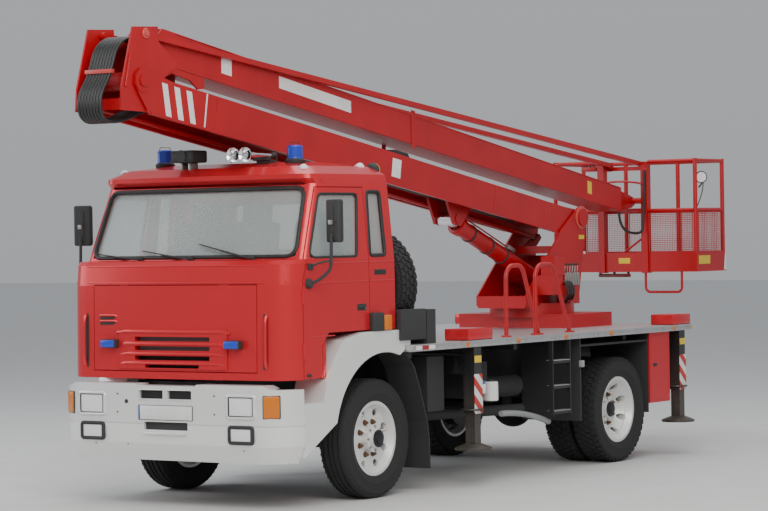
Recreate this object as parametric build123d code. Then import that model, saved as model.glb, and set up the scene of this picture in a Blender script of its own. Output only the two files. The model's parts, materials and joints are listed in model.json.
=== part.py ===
from build123d import *
from math import asin, atan2, cos, degrees, hypot, pi, radians, sin
import os

# Cab-over two-axle truck with a slewing, folding boom and a work basket, parked for the road.
# Millimetres. +X is the vehicle's left, +Y its rear, +Z up. All y values are taken from the
# front axle. The finished pieces are shifted so that the origin lies under the whole vehicle.

ORIGIN_Y = 2212.0

# Running gear
WHEELBASE = 3762.0
TYRE_R = 478.0
TYRE_W = 252.0
RIM_R = 286.0
RIM_FLANGE_R = 298.5
RIM_W = 196.0
DISC_T = 12.0
HAND_HOLES = 8
HAND_HOLE_PCD = 438.0
HUB_BORE_R = 110.5
HAND_HOLE_R = 30.0
FRONT_DISH = 62.0
REAR_DISH = 140.0
FRONT_FLANGE_X = 1036.0
REAR_FLANGE_X = 1125.0
TWIN_SPACING = 292.0
SLIDE_FIT = 0.5
SEAT = 0.3
KINGPIN_X = 760.0
KNUCKLE_SLOT = 54.0

# Chassis
RAIL_X = 385.0
RAIL_W = 70.0
RAIL_H = 210.0
RAIL_TOP = 994.0
RAIL_T = 9.0
REAR_OVERHANG = 1268.0
REAR_END = WHEELBASE + REAR_OVERHANG
DECK_X = 1219.0
DECK_FRONT = 290.0
DECK_BOTTOM = 1156.0
DECK_TOP = 1212.0
DECK_SKIN = 6.0
BEARER_X = 1080.0
JAW_SPACING_X = 160.0
JAW_SPACING_Z = 100.0
JAW_HOLE_R = 10.5

AXLE_Z = TYRE_R
RAIL_INNER = RAIL_X + RAIL_W / 2 - RAIL_T
RAIL_OUTER = RAIL_X + RAIL_W / 2
KINGPIN_R = 24.0
BUMPER_NOSE = -1361.0
BUMPER_REAR = -1105.0
BUMPER_HALF = 1163.0
BUMPER_CORNER = 318.0
FLASHER_X = 618.0
FLASHER_Z = 1273.0
LAMP_DEPTH = 44.0
FRONT_LAMPS = [(743, 804, 232, 148), (740, 588, 200, 104), (1003, 804, 134, 174)]
LINER = [(296, 1155.7), (419, 1030), (508, 831), (600, 571), (624, 435), (632, 190)]
LINER_T = 12.0
FENDER_X = 1150.0
FENDER_TOP = 1338.0
STEERING = (480.0, -745.0, 1850.0)
BEACON_X = 659.0
BEACON_Y = -500.0
BEACON_Z = 2690.0
SPARE_X = 640.0
SPARE_Y = 424.0
SPARE_Z = 1691.0
HANGER_Z = 508.0
ENGINE_FRONT = -740.0
ENGINE_REAR = 130.0

# Cab
ROOF_EDGE = 2585.0
CAB_FLOOR = 1000.0
SHELF_BOTTOM = 1890.0
SHELF_TOP = 1926.0
CAB_SECTIONS = [
    (CAB_FLOOR, -1266.0, 1118.0, 196.0, 0.03, 225.0), (1732.0, -1253.0, 1120.0, 196.0, 0.03, 225.0),
    (SHELF_BOTTOM, -1238.0, 1117.0, 196.0, 0.03, 225.0), (1920.0, -1212.0, 1116.0, 196.0, 0.03, 225.0),
    (SHELF_TOP, -1072.0, 1115.0, 196.0, 0.06, 120.0), (2510.0, -843.0, 1062.0, 188.0, 0.06, 120.0),
    (2550.0, -900.0, 1056.0, 185.0, 0.06, 146.0), (ROOF_EDGE, -902.0, 1048.0, 182.0, 0.06, 146.0),
    (2650.0, -790.0, 930.0, 110.0, 0.06, 160.0), (2690.0, -540.0, 640.0, -60.0, 0.06, 160.0),
]
CAB_WALL = 42.0
ARCH_TOP = 1346.0
PANEL_GAP = 6.0
GLASS_T = 6.0
GLASS_IN = 16.0
DOOR_FRONT = -1045.0
DOOR_REAR = -165.0
SIDE_IN = 1020.0
SIDE_OUT = 1300.0
HINGES = (1180.0, 1600.0)
HINGE_X = 1117.0
HINGE_R = 13.0
HINGE_FIT = 2.0
HINGE_LENGTH = 70.0
HINGE_CAP = 24.0
PRESSING = 12.0
PANEL_SLOTS = [(268, 1086), (374, 1147), (374, 1223), (374, 1296)]
SLOT_HEIGHT = 34.0
FRONT_REACH = (-1500.0, -1000.0)
SCREEN_REACH = (-1500.0, -700.0)
BACK_REACH = (100.0, 300.0)
GRILLE_X = 812.0
GRILLE_TOP = 1732.0
GRILLE_BOTTOM = 1062.0
BUMPER_TOP = 967.0
BUMPER_SEAM = 652.0
BUMPER_CHIN = 500.0
BUMPER_BOTTOM = 366.0
BUMPER_WALL = 60.0
ARCH_R = 690.0

# Boom geometry, pins in the side view
FOOT_Y, FOOT_Z = 4616.0, 2236.0
ELBOW_Y, ELBOW_Z = -1860.0, 3300.0
TIP_Y, TIP_Z = 5930.0, 2400.0
TIE_DY, TIE_DZ = -130.0, -185.0
ROD_DY, ROD_DZ = 60.0, 360.0
PIN_R = 45.0
TIE_PIN_R = 18.0
TIP_PIN_R = 30.0
TIP_X = 100.0
LOWER_TOP = 58.0
LOWER_FLOOR = -118.0
RAM_BARREL = 1400.0
RING_SPLIT = 1372.0
REAR_GUARD = 490.0
GUARD_FRONT = 746.0
GUARD_T = 20.0
FLAP_T = 9.0
LOCKER_FRONT = WHEELBASE + REAR_GUARD + FLAP_T + 1.0
HOOP_X = 1120.0
HOOP_TOP = 1820.0
MAST_FRONT = 5890.0
RAM_FOOT_Y, RAM_FOOT_Z = 4150.0, 1680.0
RAM_TILT = 20.944778
RAM_HEAD = 152.586552
RAM_EYE_Y = RAM_FOOT_Y - (RAM_BARREL + RAM_HEAD) * cos(radians(RAM_TILT))
RAM_EYE_Z = RAM_FOOT_Z + (RAM_BARREL + RAM_HEAD) * sin(radians(RAM_TILT))
RAM_R = 77.0
RAM_ROD_R = 45.0
SLEW_Y = 4130.0
SLEW_R = 400.0
SUBFRAME_TOP = 1340.0
PLATE_T = 15.0
LOWER_X = 245.0
LOWER_T = 12.0
TURRET_IN = 255.0
TURRET_T = 16.0
ELBOW_IN = 212.0
UPPER_X = 155.0
UPPER_ROOT = [(-1500, 3715), (-1400, 3420)]
UPPER_T = 10.0
ROD_X = 186.0
ROD_R = 22.0
TIE_X = -150.0

# Basket
BASKET_X = 822.0
BASKET_FRONT = 5912.0
BASKET_REAR = 6530.0
BASKET_FLOOR = 1722.0
BASKET_TOP = 2806.0
BASKET_MID = 2300.0
BASKET_TOE = 1885.0
MAST_X = 247.0
MAST_W = 70.0
TUBE_R = 19.0
POST_R = 21.0
HOSE_R = 13.0
HOSE_ROW = [-105.0, -75.0, -45.0, -15.0, 15.0, 45.0, 75.0, 105.0]
HOSE_ROUTE = [
    (-1440, 3584), (-1740, 3660), (-1990, 3590), (-2075, 3340), (-2205, 3180), (-2190, 3010), (-2020, 2975),
    (-1700, 3070), (-1432, 3158),
]
HOSE_BEND = 80.0
FRONT_SPRING = 620.0
REAR_SPRING = 700.0

# Jacks
JACK_X = 1160.0
JACK_FRONT_Y = 1262.0
JACK_REAR_Y = REAR_END - 188.0
JACK_BOX_REAR = (JACK_REAR_Y - 172.0, JACK_REAR_Y + 158.0)
JACK_TUBE = 110.0
JACK_WALL = 8.0
JACK_LEG = JACK_TUBE - 2 * JACK_WALL - 2 * SLIDE_FIT
JACK_TUBE_BOTTOM = 600.0
JACK_TOP = 1305.0
JACK_FOOT_Z = 300.0
JACK_FOOT_R = 150.0


def span(x0, x1, y0, y1, z0, z1):
    """Block between two corners."""
    return Pos((x0 + x1) / 2, (y0 + y1) / 2, (z0 + z1) / 2) * Box(abs(x1 - x0), abs(y1 - y0), abs(z1 - z0))


def rod_x(x0, x1, y, z, r):
    """Round bar along X."""
    return Pos((x0 + x1) / 2, y, z) * Rot(0, 90, 0) * Cylinder(r, abs(x1 - x0))


def rod_y(x, y0, y1, z, r):
    """Round bar along Y."""
    return Pos(x, (y0 + y1) / 2, z) * Rot(90, 0, 0) * Cylinder(r, abs(y1 - y0))


def rod_z(x, y, z0, z1, r):
    """Round bar along Z."""
    return Pos(x, y, (z0 + z1) / 2) * Cylinder(r, abs(z1 - z0))


def bar(a, b, r):
    """Round bar between two points."""
    a, b = Vector(*a), Vector(*b)
    return extrude(Plane(origin=a, z_dir=b - a) * Circle(r), (b - a).length)


def side_plate(points, x0, x1):
    """Outline in the side view (y, z), from x0 to x1."""
    return extrude(Plane.YZ.offset(min(x0, x1)) * Polygon(*points, align=None), abs(x1 - x0), dir=(1, 0, 0))


def both(shape):
    """A shape and its mirror image on the other side."""
    return [shape, mirror(shape, Plane.YZ)]


def fuse(*shapes):
    flat = []
    for shape in shapes:
        flat.extend(shape if isinstance(shape, list) else [shape])
    result = flat[0]
    for shape in flat[1:]:
        result = result + shape
    return result


def bent_tube(points, r, bend):
    """Tube along straight runs with rounded corners."""
    path = FilletPolyline(*points, radius=bend)
    section = Plane(origin=path @ 0, z_dir=path % 0) * Circle(r)
    return sweep(section, path)


def save(name, shape):
    """Writes one piece, shifted from the front axle to the part's own origin."""
    shape = Compound(shape) if isinstance(shape, list) else shape
    export_step(Pos(0, -ORIGIN_Y, 0) * shape, f"parts/{name}.step")


# Running gear

def tyre(x_mid, side, y):
    """Tyre section turned about the axle: (x from the middle, radius) corner points."""
    half = TYRE_W / 2
    section = [
        (-half * 0.70, RIM_FLANGE_R + SEAT), (-half * 0.93, RIM_R + 50), (-half, RIM_R + 105),
        (-half * 0.97, TYRE_R - 45), (-half * 0.82, TYRE_R - 8), (-half * 0.45, TYRE_R),
        (half * 0.45, TYRE_R), (half * 0.82, TYRE_R - 8), (half * 0.97, TYRE_R - 45),
        (half, RIM_R + 105), (half * 0.93, RIM_R + 50), (half * 0.70, RIM_FLANGE_R + SEAT),
        (RIM_W / 2 - 15, RIM_FLANGE_R + SEAT), (RIM_W / 2 - 23, RIM_R + SEAT), (-RIM_W / 2 + 23,
                                                                                RIM_R + SEAT),
        (-RIM_W / 2 + 15, RIM_FLANGE_R + SEAT),
    ]
    ring = revolve(Plane.XY * Polygon(*section, align=None), Axis.X)
    return Pos(side * x_mid, y, TYRE_R) * ring


def rim_band():
    """Rim of a drop-centre wheel, outer flange at x = 0: (x, radius) corner points."""
    section = [
        (0, RIM_FLANGE_R), (-14, RIM_FLANGE_R), (-22, RIM_R - 8), (-60, RIM_R - 26),
        (-RIM_W + 60, RIM_R - 26), (-RIM_W + 22, RIM_R - 8), (-RIM_W + 14, RIM_FLANGE_R),
        (-RIM_W, RIM_FLANGE_R), (-RIM_W, RIM_R - 12), (-RIM_W + 60, RIM_R - 42), (-60, RIM_R - 42),
        (0, RIM_R - 12),
    ]
    return revolve(Plane.XY * Polygon(*section, align=None), Axis.X)


def disc_wheel(dish, hub_out):
    """Steel wheel with its outer flange at x = 0: rim, dished disc with hand holes, and hub.
    dish is the depth from the flange to the disc's face."""
    disc = [
        (-58, RIM_R - 30), (-58, RIM_R - 56), (-dish, 178), (-dish, HUB_BORE_R - 30),
        (-dish - DISC_T, HUB_BORE_R - 30), (-dish - DISC_T, 186), (-74, RIM_R - 30),
    ]
    hub = [
        (-dish - 90, 0), (-dish - 90, 120), (-dish - 40, 165), (-dish - DISC_T, 165), (-dish - DISC_T,
                                                                                       HUB_BORE_R),
        (-dish + hub_out - 30, HUB_BORE_R), (-dish + hub_out - 30, 84), (-dish + hub_out,
                                                                         76), (-dish + hub_out, 0),
    ]
    wheel = rim_band()
    for outline in (disc, hub):
        wheel = wheel + revolve(Plane.XY * Polygon(*outline, align=None), Axis.X)
    for index in range(HAND_HOLES):
        turn = 360 * (index + 0.5) / HAND_HOLES
        wheel = wheel - Rot(turn, 0, 0) * rod_x(-dish - 60, 0, HAND_HOLE_PCD / 2, 0, HAND_HOLE_R)
    return wheel


def on_side(shape, side, face_x, y):
    """Puts a wheel built for the left at its place on either side."""
    turned = shape if side > 0 else mirror(shape, Plane.YZ)
    return Pos(side * face_x, y, TYRE_R) * turned


def front_wheels():
    for side, word in ((1, "left"), (-1, "right")):
        save(f"tyre_front_{word}", tyre(FRONT_FLANGE_X - RIM_W / 2, side, 0))
        save(f"wheel_front_{word}", on_side(disc_wheel(FRONT_DISH, 95), side, FRONT_FLANGE_X, 0))


def rear_wheels():
    outer = REAR_FLANGE_X - RIM_W / 2
    inner_flange = REAR_FLANGE_X - TWIN_SPACING
    reach = TWIN_SPACING - REAR_DISH - DISC_T
    inner_disc = [
        (-60, RIM_R - 34), (-40, RIM_R - 34), (reach - SEAT, 190), (reach - SEAT, HUB_BORE_R + SEAT),
        (reach - DISC_T, HUB_BORE_R + SEAT), (reach - DISC_T, 180), (-60, RIM_R - 54),
    ]
    inner = rim_band() + revolve(Plane.XY * Polygon(*inner_disc, align=None), Axis.X)
    for side, word in ((1, "left"), (-1, "right")):
        save(f"tyres_rear_{word}", [tyre(x, side, WHEELBASE) for x in (outer, outer - TWIN_SPACING)])
        outer_wheel = on_side(disc_wheel(REAR_DISH, 60), side, REAR_FLANGE_X, WHEELBASE)
        save(f"wheels_rear_{word}", [outer_wheel, on_side(inner, side, inner_flange, WHEELBASE)])


def front_axle():
    """Drop-centre axle beam with its spring pads and fork ends for the kingpins."""
    beam = span(-KINGPIN_X + 60, KINGPIN_X - 60, -45, 45, AXLE_Z - 85, AXLE_Z + 5)
    for side in (1, -1):
        beam = beam + span(side * (KINGPIN_X - 110), side * (KINGPIN_X - 45), -45, 45, AXLE_Z - 85,
                           AXLE_Z + 60)
        for z in (AXLE_Z - 85, AXLE_Z + 30):
            beam = beam + span(side * (KINGPIN_X - 70), side * (KINGPIN_X + 40), -40, 40, z, z + 30)
        beam = beam - span(side * (KINGPIN_X - KNUCKLE_SLOT), side * (KINGPIN_X + 60), -60, 60, AXLE_Z - 54,
                           AXLE_Z + 29)
        beam = beam - rod_z(side * KINGPIN_X, 0, AXLE_Z - 120, AXLE_Z + 120, KINGPIN_R + SLIDE_FIT)
        for leaf in range(3):
            reach = FRONT_SPRING - 150 * leaf
            level = AXLE_Z + 5 + 22 * (2 - leaf)
            beam = beam + span(side * RAIL_X - 38, side * RAIL_X + 38, -reach, reach, level, level + 22)
    return beam


def knuckle(side):
    """Stub axle that turns on the kingpin, with its steering arm and brake drum."""
    body = rod_z(side * KINGPIN_X, 0, AXLE_Z - 95, AXLE_Z + 72, KINGPIN_R)
    body = body + span(side * (KINGPIN_X - 20), side * (KINGPIN_X + 62), -32, 32, AXLE_Z - 54 + SLIDE_FIT,
                       AXLE_Z + 29 - SLIDE_FIT)
    hub_back = FRONT_FLANGE_X - FRONT_DISH - 90
    body = body + rod_x(side * (KINGPIN_X + 60), side * (hub_back - SEAT), 0, AXLE_Z, 50)
    body = body + rod_x(side * (KINGPIN_X + 70), side * (hub_back - 6), 0, AXLE_Z, 150)
    arm = span(side * (KINGPIN_X - 12), side * (KINGPIN_X + 18), 0, 190, AXLE_Z - 30, AXLE_Z - 8)
    return body + arm


def rear_axle():
    """Banjo casing, tapered arms, brake drums, leaf springs and the propeller shaft."""
    hub_back = REAR_FLANGE_X - REAR_DISH - 90
    arm = REAR_FLANGE_X - TWIN_SPACING - RIM_W - 40
    casing = rod_x(-arm, arm, WHEELBASE, AXLE_Z, 75)
    casing = casing + Pos(0, WHEELBASE, AXLE_Z) * Sphere(190)
    casing = casing + rod_y(0, WHEELBASE - 290, WHEELBASE, AXLE_Z + 10, 85)
    casing = casing + rod_x(-hub_back + SEAT, hub_back - SEAT, WHEELBASE, AXLE_Z, 48)
    for side in (1, -1):
        casing = casing + rod_x(side * (arm - 20), side * (arm + 80), WHEELBASE, AXLE_Z, 190)
        for leaf in range(4):
            reach = REAR_SPRING - 140 * leaf
            level = AXLE_Z + 75 + 24 * (3 - leaf)
            casing = casing + span(side * RAIL_X - 40, side * RAIL_X + 40, WHEELBASE - reach,
                                   WHEELBASE + reach,
                                   level, level + 24)
        casing = casing + span(side * RAIL_X - 45, side * RAIL_X + 45, WHEELBASE - 70, WHEELBASE + 70,
                               AXLE_Z + 40, AXLE_Z + 80)
    shaft = bar((0, WHEELBASE - 280, AXLE_Z + 10), (0, ENGINE_REAR + 430, AXLE_Z + 180), 52)
    return casing + shaft


def chassis_frame():
    """Two channel rails with cross members, spring hangers and the deck's bearers."""
    parts = []
    for side in (1, -1):
        outer, inner = side * (RAIL_X + RAIL_W / 2), side * (RAIL_X - RAIL_W / 2)
        web = outer - side * RAIL_T
        parts.append(span(outer, web, -1180, REAR_END - 30, RAIL_TOP - RAIL_H, RAIL_TOP))
        for z in (RAIL_TOP - RAIL_H, RAIL_TOP - RAIL_T):
            parts.append(span(outer, inner, -1180, REAR_END - 30, z, z + RAIL_T))
        parts.append(span(outer, inner, 330, REAR_END - 60, RAIL_TOP, DECK_BOTTOM - 40))
        for y in (-FRONT_SPRING - SEAT - 40, FRONT_SPRING + SEAT, WHEELBASE - REAR_SPRING - SEAT - 40,
                  WHEELBASE + REAR_SPRING + SEAT):
            parts.append(span(side * (RAIL_X - 34), side * (RAIL_X + 34), y, y + 40, HANGER_Z,
                              RAIL_TOP - RAIL_H))
        parts.append(span(side * (RAIL_X - 30), side * (RAIL_X + 30), -1100, -1000, RAIL_TOP - 1,
                          CAB_FLOOR - SEAT))
        parts.append(span(side * (RAIL_X - 30), side * (RAIL_X + 30), 90, 160, RAIL_TOP - 1, ARCH_TOP - SEAT))
    for y in (-1150, 620, 1700, 2700, 3300, 4300):
        parts.append(span(-RAIL_INNER, RAIL_INNER, y, y + 60, RAIL_TOP - 170, RAIL_TOP - 20))
    for y in (420, 1240, 2050, 2950, 3950, 4820):
        parts.append(span(-BEARER_X, BEARER_X, y, y + 60, DECK_BOTTOM - 60, DECK_BOTTOM))
    middle = RAIL_TOP - RAIL_H / 2
    end_plate = span(-RAIL_OUTER, RAIL_OUTER, REAR_END - 31, REAR_END - 15, RAIL_TOP - RAIL_H, RAIL_TOP)
    for x in (-JAW_SPACING_X / 2, JAW_SPACING_X / 2):
        for z in (middle - JAW_SPACING_Z / 2, middle + JAW_SPACING_Z / 2):
            end_plate = end_plate - rod_y(x, REAR_END - 60, REAR_END, z, JAW_HOLE_R)
    parts.append(end_plate)
    return fuse(*parts)


def engine():
    """Engine and gearbox as plain masses between the rails, under the cab."""
    block = span(-300, 300, ENGINE_FRONT, ENGINE_REAR, 640, 1290)
    box = span(-190, 190, ENGINE_REAR, ENGINE_REAR + 420, 560, 900)
    sump = span(-200, 200, ENGINE_FRONT + 150, ENGINE_REAR - 60, 560, 640)
    feet = [span(side * 298, side * (RAIL_X - RAIL_W / 2 - SEAT), y, y + 80, 950, RAIL_TOP)
            for side in (1, -1) for y in (-600, 0)]
    return fuse(block, box, sump, feet)


def deck():
    """Chequered deck with a folded edge all round."""
    plate = span(-DECK_X, DECK_X, DECK_FRONT, REAR_END, DECK_BOTTOM, DECK_TOP)
    under = span(-DECK_X + 14, DECK_X - 14, DECK_FRONT + 14, REAR_END - 14, DECK_BOTTOM - 1,
                 DECK_TOP - DECK_SKIN)
    top = plate - under
    bearers = [span(x - 25, x + 25, DECK_FRONT + 10, REAR_END - 10, DECK_BOTTOM, DECK_TOP - DECK_SKIN + 1)
               for x in (-1000, -720, 720, 1000)]
    whole = fuse(top, bearers)
    for side in (1, -1):
        for y in (JACK_FRONT_Y, JACK_REAR_Y):
            half = JACK_TUBE / 2 + SEAT
            whole = whole - span(side * (JACK_X - half), side * 1300, y - half, y + half, 1000, 1300)
    return whole


# Cab

def cab_outline(z, nose, half, rear, sag, corner, inset=0.0):
    """Level section of the cab: slightly bowed front, round front corners, straight sides."""
    half, rear, nose, corner = half - inset, rear - inset, nose + inset, corner - inset
    bow = half - corner
    bow_y = nose + sag * bow * bow / 1000
    side_y = bow_y + corner
    mid = (bow + corner * sin(pi / 4), side_y - corner * cos(pi / 4))
    front = ThreePointArc((-bow, bow_y), (0, nose), (bow, bow_y)) if sag else Line((-bow, bow_y), (bow,
                                                                                                   bow_y))
    right = ThreePointArc((bow, bow_y), mid, (half, side_y))
    left = ThreePointArc((-half, side_y), (-mid[0], mid[1]), (-bow, bow_y))
    back = Polyline((half, side_y), (half, rear), (-half, rear), (-half, side_y))
    return Pos(0, 0, z) * make_face([front, right, back, left])


def cab_body(inset=0.0, lift=0.0):
    """Cab as a ruled loft through level sections; all above the shelf's edge is lowered by the inset."""
    sections = []
    for z, *plan in CAB_SECTIONS:
        if z == CAB_FLOOR:
            z = z + lift
        if z >= SHELF_BOTTOM:
            z = z - inset
        sections.append(cab_outline(z, *plan, inset))
    return loft(sections, ruled=True)


def panel_face(x, z):
    """Depth of the cab's front below the windscreen."""
    low, high = CAB_SECTIONS[0], CAB_SECTIONS[1]
    nose = low[1] + (high[1] - low[1]) * (z - low[0]) / (high[0] - low[0])
    return nose + low[4] * x * x / 1000


def oblong(half, low, high):
    """Upright rectangle in the front view, centred on the vehicle."""
    return [(-half, low), (-half, high), (half, high), (half, low)]


def across(points, y0, y1):
    """Outline in the front view (x, z), from y0 back to y1."""
    return extrude(Plane.XZ.offset(-y0) * Polygon(*points, align=None), y1 - y0, dir=(0, 1, 0))


DOOR = [
    (DOOR_FRONT, 1006), (DOOR_FRONT, 1760), (-762, 2478), (DOOR_REAR, 2478), (DOOR_REAR, ARCH_TOP + 6),
    (-720, ARCH_TOP + 6), (-806, 1250), (-806, 1006),
]
DOOR_WINDOW = [(-940, 1935), (-745, 2430), (-242, 2430), (-312, 1935)]
QUARTER = [(-138, 1940), (-112, 2446), (66, 2446), (76, 1940)]
SCREEN = [(-1018, 1946), (-968, 2478), (968, 2478), (1018, 1946)]
REAR_WINDOW = [(-480, 1980), (-480, 2380), (480, 2380), (480, 1980)]


def side_prism(points, side, gap=0.0):
    """Outline in the side view, through one side of the cab."""
    sketch = offset(Polygon(*points, align=None), amount=gap, kind=Kind.INTERSECTION) if gap else Polygon(
        *points, align=None)
    start = SIDE_IN - gap if side > 0 else -SIDE_OUT
    return extrude(Plane.YZ.offset(start) * sketch, SIDE_OUT - SIDE_IN + gap, dir=(1, 0, 0))


def cab():
    """Hollow cab shell, its doors, front panel and glass."""
    outer = cab_body()
    void = cab_body(CAB_WALL, CAB_WALL)
    open_void = cab_body(CAB_WALL, -20)
    raised = span(-1300, 1300, -802, 400, 900, ARCH_TOP + CAB_WALL)
    shell = outer - (void - raised)
    shell = shell - span(-1300, 1300, -760, 400, 900, ARCH_TOP)
    band = outer - open_void
    glass = cab_body(GLASS_IN) - cab_body(GLASS_IN + GLASS_T)
    panel = band & across(oblong(GRILLE_X, GRILLE_BOTTOM, GRILLE_TOP), *FRONT_REACH)
    shell = shell - across(oblong(GRILLE_X + PANEL_GAP, GRILLE_BOTTOM - PANEL_GAP, GRILLE_TOP + PANEL_GAP),
                           *FRONT_REACH)
    shell = shell - across(SCREEN, *SCREEN_REACH) - across(REAR_WINDOW, *BACK_REACH)
    panes = [glass & across(SCREEN, *SCREEN_REACH), glass & across(REAR_WINDOW, *BACK_REACH)]
    door_band = outer - cab_body(CAB_WALL + 4, -20)
    for side, word in ((1, "left"), (-1, "right")):
        door = band & side_prism(DOOR, side)
        shell = shell - (door_band & side_prism(DOOR, side, PANEL_GAP))
        shell = shell - side_prism(QUARTER, side)
        panes.append(glass & side_prism(QUARTER, side))
        window = side_prism(DOOR_WINDOW, side)
        pin = (side * HINGE_X, DOOR_FRONT - 1)
        for low in HINGES:
            high = low + HINGE_LENGTH
            shell = shell - rod_z(*pin, low - SLIDE_FIT, high + SLIDE_FIT, HINGE_R + HINGE_FIT)
            door = door + rod_z(*pin, low, high, HINGE_R)
            for z in (low - HINGE_CAP - SLIDE_FIT, high + SLIDE_FIT):
                door = door - rod_z(*pin, z - SLIDE_FIT, z + HINGE_CAP + SLIDE_FIT, HINGE_R + HINGE_FIT)
                shell = shell + rod_z(*pin, z, z + HINGE_CAP, HINGE_R)
        save(f"door_{word}", door - window)
        save(f"door_glass_{word}", glass & window)
    save("cab_shell", shell)
    save("cab_glass", panes)
    pressing = (cab_body(-PRESSING) - open_void) & across(oblong(540, 1078, 1388), *FRONT_REACH)
    panel = panel + pressing
    for x in (-500, 500):
        tab_y = panel_face(x, GRILLE_TOP)
        panel = panel + span(x - 40, x + 40, tab_y + 8, tab_y + 34, GRILLE_TOP - 2,
                             GRILLE_TOP + PANEL_GAP - SEAT)
    for half, low in PANEL_SLOTS:
        panel = panel - across(oblong(half, low, low + SLOT_HEIGHT), *FRONT_REACH)
    save("front_panel", panel)


def bumper_face(x):
    """Depth and turn of the bumper's face at x: flat, then round the corner."""
    past = max(0.0, abs(x) - BUMPER_HALF + BUMPER_CORNER)
    turn = asin(past / BUMPER_CORNER)
    return BUMPER_NOSE + BUMPER_CORNER * (1 - cos(turn)), degrees(turn) * (1 if x > 0 else -1)


def lamp_block(x, z, width, height, depth, proud):
    """Block set square to the bumper's face, standing proud of it."""
    y, turn = bumper_face(x)
    return Pos(x, y, z) * Rot(0, 0, turn) * Pos(0, (depth - proud) / 2, 0) * Box(width, depth + proud, height)


def bumper_shape(rows, rear, inset=0.0):
    """Bumper as a ruled loft through level sections, its corners running on behind its cut ends."""
    return loft([cab_outline(z, nose, half, rear, 0, corner, inset) for z, nose, half, corner in rows],
                ruled=True)


def bumper():
    """Deep moulded bumper, open behind, with lamp pockets, vents, a seam and an undercut chin."""
    rows = [(BUMPER_BOTTOM, -1305, 1106, 285), (BUMPER_CHIN, -1352, 1160, 310),
            (BUMPER_SEAM, BUMPER_NOSE, BUMPER_HALF, BUMPER_CORNER), (BUMPER_TOP, BUMPER_NOSE + 4, 1161, 316)]
    body = bumper_shape(rows, -900)
    inner_rows = [(BUMPER_BOTTOM - 10, *rows[0][1:]), *rows[1:-1], (BUMPER_TOP - 25, *rows[-1][1:])]
    body = body - bumper_shape(inner_rows, -700, BUMPER_WALL)
    body = body - span(-1300, 1300, BUMPER_REAR, -600, 300, 1100) - span(-1060, 1060, -1190, -990, 300, 1000)
    groove = cab_outline(0, BUMPER_NOSE - 20, BUMPER_HALF + 20, -900, 0, BUMPER_CORNER + 20)
    groove = groove - cab_outline(0, BUMPER_NOSE, BUMPER_HALF, -800, 0, BUMPER_CORNER, 7)
    body = body - Pos(0, 0, BUMPER_SEAM) * extrude(groove, 7)
    shoulder = [(930, 1000), (930, BUMPER_TOP), (1004, 936), (1300, 930), (1300, 1000)]
    dip = [(-318, 1000), (-300, BUMPER_TOP - 14), (300, BUMPER_TOP - 14), (318, 1000)]
    body = body - across(dip, *FRONT_REACH)
    for side in (1, -1):
        body = body - across([(side * x, z) for x, z in shoulder], *FRONT_REACH)
        for x, z, width, height in FRONT_LAMPS:
            pocket = lamp_block(side * x, z, width + 2 * SEAT, height + 2 * SEAT, LAMP_DEPTH + SEAT, 60)
            body = body - pocket
        body = body - span(side * 24, side * 260, -1500, -1250, 850, 917)
    body = body - span(-218, 218, -1500, -1250, 608, 670)
    mounts = [span(side * (RAIL_X - 25), side * RAIL_OUTER, -1320, -1180 - SEAT, 800, 900) for side in (1,
                                                                                                        -1)]
    return fuse(body, mounts)


def front_lamps():
    """Headlamps, fog lamps and side indicators in the bumper, and flashers on the panel."""
    lamps = []
    for side in (1, -1):
        for x, z, width, height in FRONT_LAMPS:
            lamps.append(lamp_block(side * x, z, width, height, LAMP_DEPTH, 6))
        flasher = Pos(side * FLASHER_X, -1275, FLASHER_Z) * Box(146, 100, 66)
        lamps.append(flasher - cab_body(-SEAT))
    return lamps


def front_fenders():
    """White arches with the step boxes in front of them."""
    outer = [(-1098, 410), (-1098, 820), (-850, 820), (-800, 960), (-700, 1150), (-570, 1290), (-300,
                                                                                                FENDER_TOP),
             (250, FENDER_TOP), (340, 1290), (362, 1246), (362, DECK_TOP + SEAT), (DECK_FRONT - 5,
                                                                                   DECK_TOP + SEAT),
             (DECK_FRONT - 5, 1178)]
    parts = []
    for side in (1, -1):
        x_out, x_in = side * FENDER_X, side * (FENDER_X - 27)
        skin = side_plate(outer, x_out, x_in)
        roof = side_plate(outer, x_in, side * 850)
        roof = roof - span(side * 800, side * 1300, DECK_FRONT - 6, 500, 1100, 1400)
        roof = roof - rod_x(side * 800, side * 1300, 0, AXLE_Z, ARCH_R + 26)
        body = skin + roof
        body = body - rod_x(side * 800, side * 1300, 0, AXLE_Z, ARCH_R)
        body = body - span(side * 800, x_in, -1100, -752, 996, 1400)
        body = body - span(side * 800, side * 1300, -ARCH_R, 0, 300, AXLE_Z)
        pocket = span(side * 820, side * (FENDER_X - 27), -1070, -ARCH_R - 60, 400, 790)
        parts.append(body - pocket)
    return parts


def mudguards():
    """Curved liners and flaps behind the front wheels, and the boxes ahead of and behind the rear wheels."""
    parts = []
    for side in (1, -1):
        x_in, x_out = side * 850, side * 1140
        back = [(y + LINER_T, z) for y, z in reversed(LINER)]
        stay = span(side * (RAIL_OUTER + SEAT), side * 852, 518, 540, 800, 830)
        parts.append(side_plate(LINER + back, x_in, x_out) + stay)
        ahead, behind = WHEELBASE - GUARD_FRONT, WHEELBASE + REAR_GUARD
        for y0, y1 in ((ahead, ahead + GUARD_T), (behind, behind + FLAP_T)):
            parts.append(span(side * 560, side * 1170, y0, y1, 420, DECK_BOTTOM - SEAT))
        parts.append(span(side * 560, side * 1170, ahead + GUARD_T - 1, behind + 1, 1078, 1095))
    return parts


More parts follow.
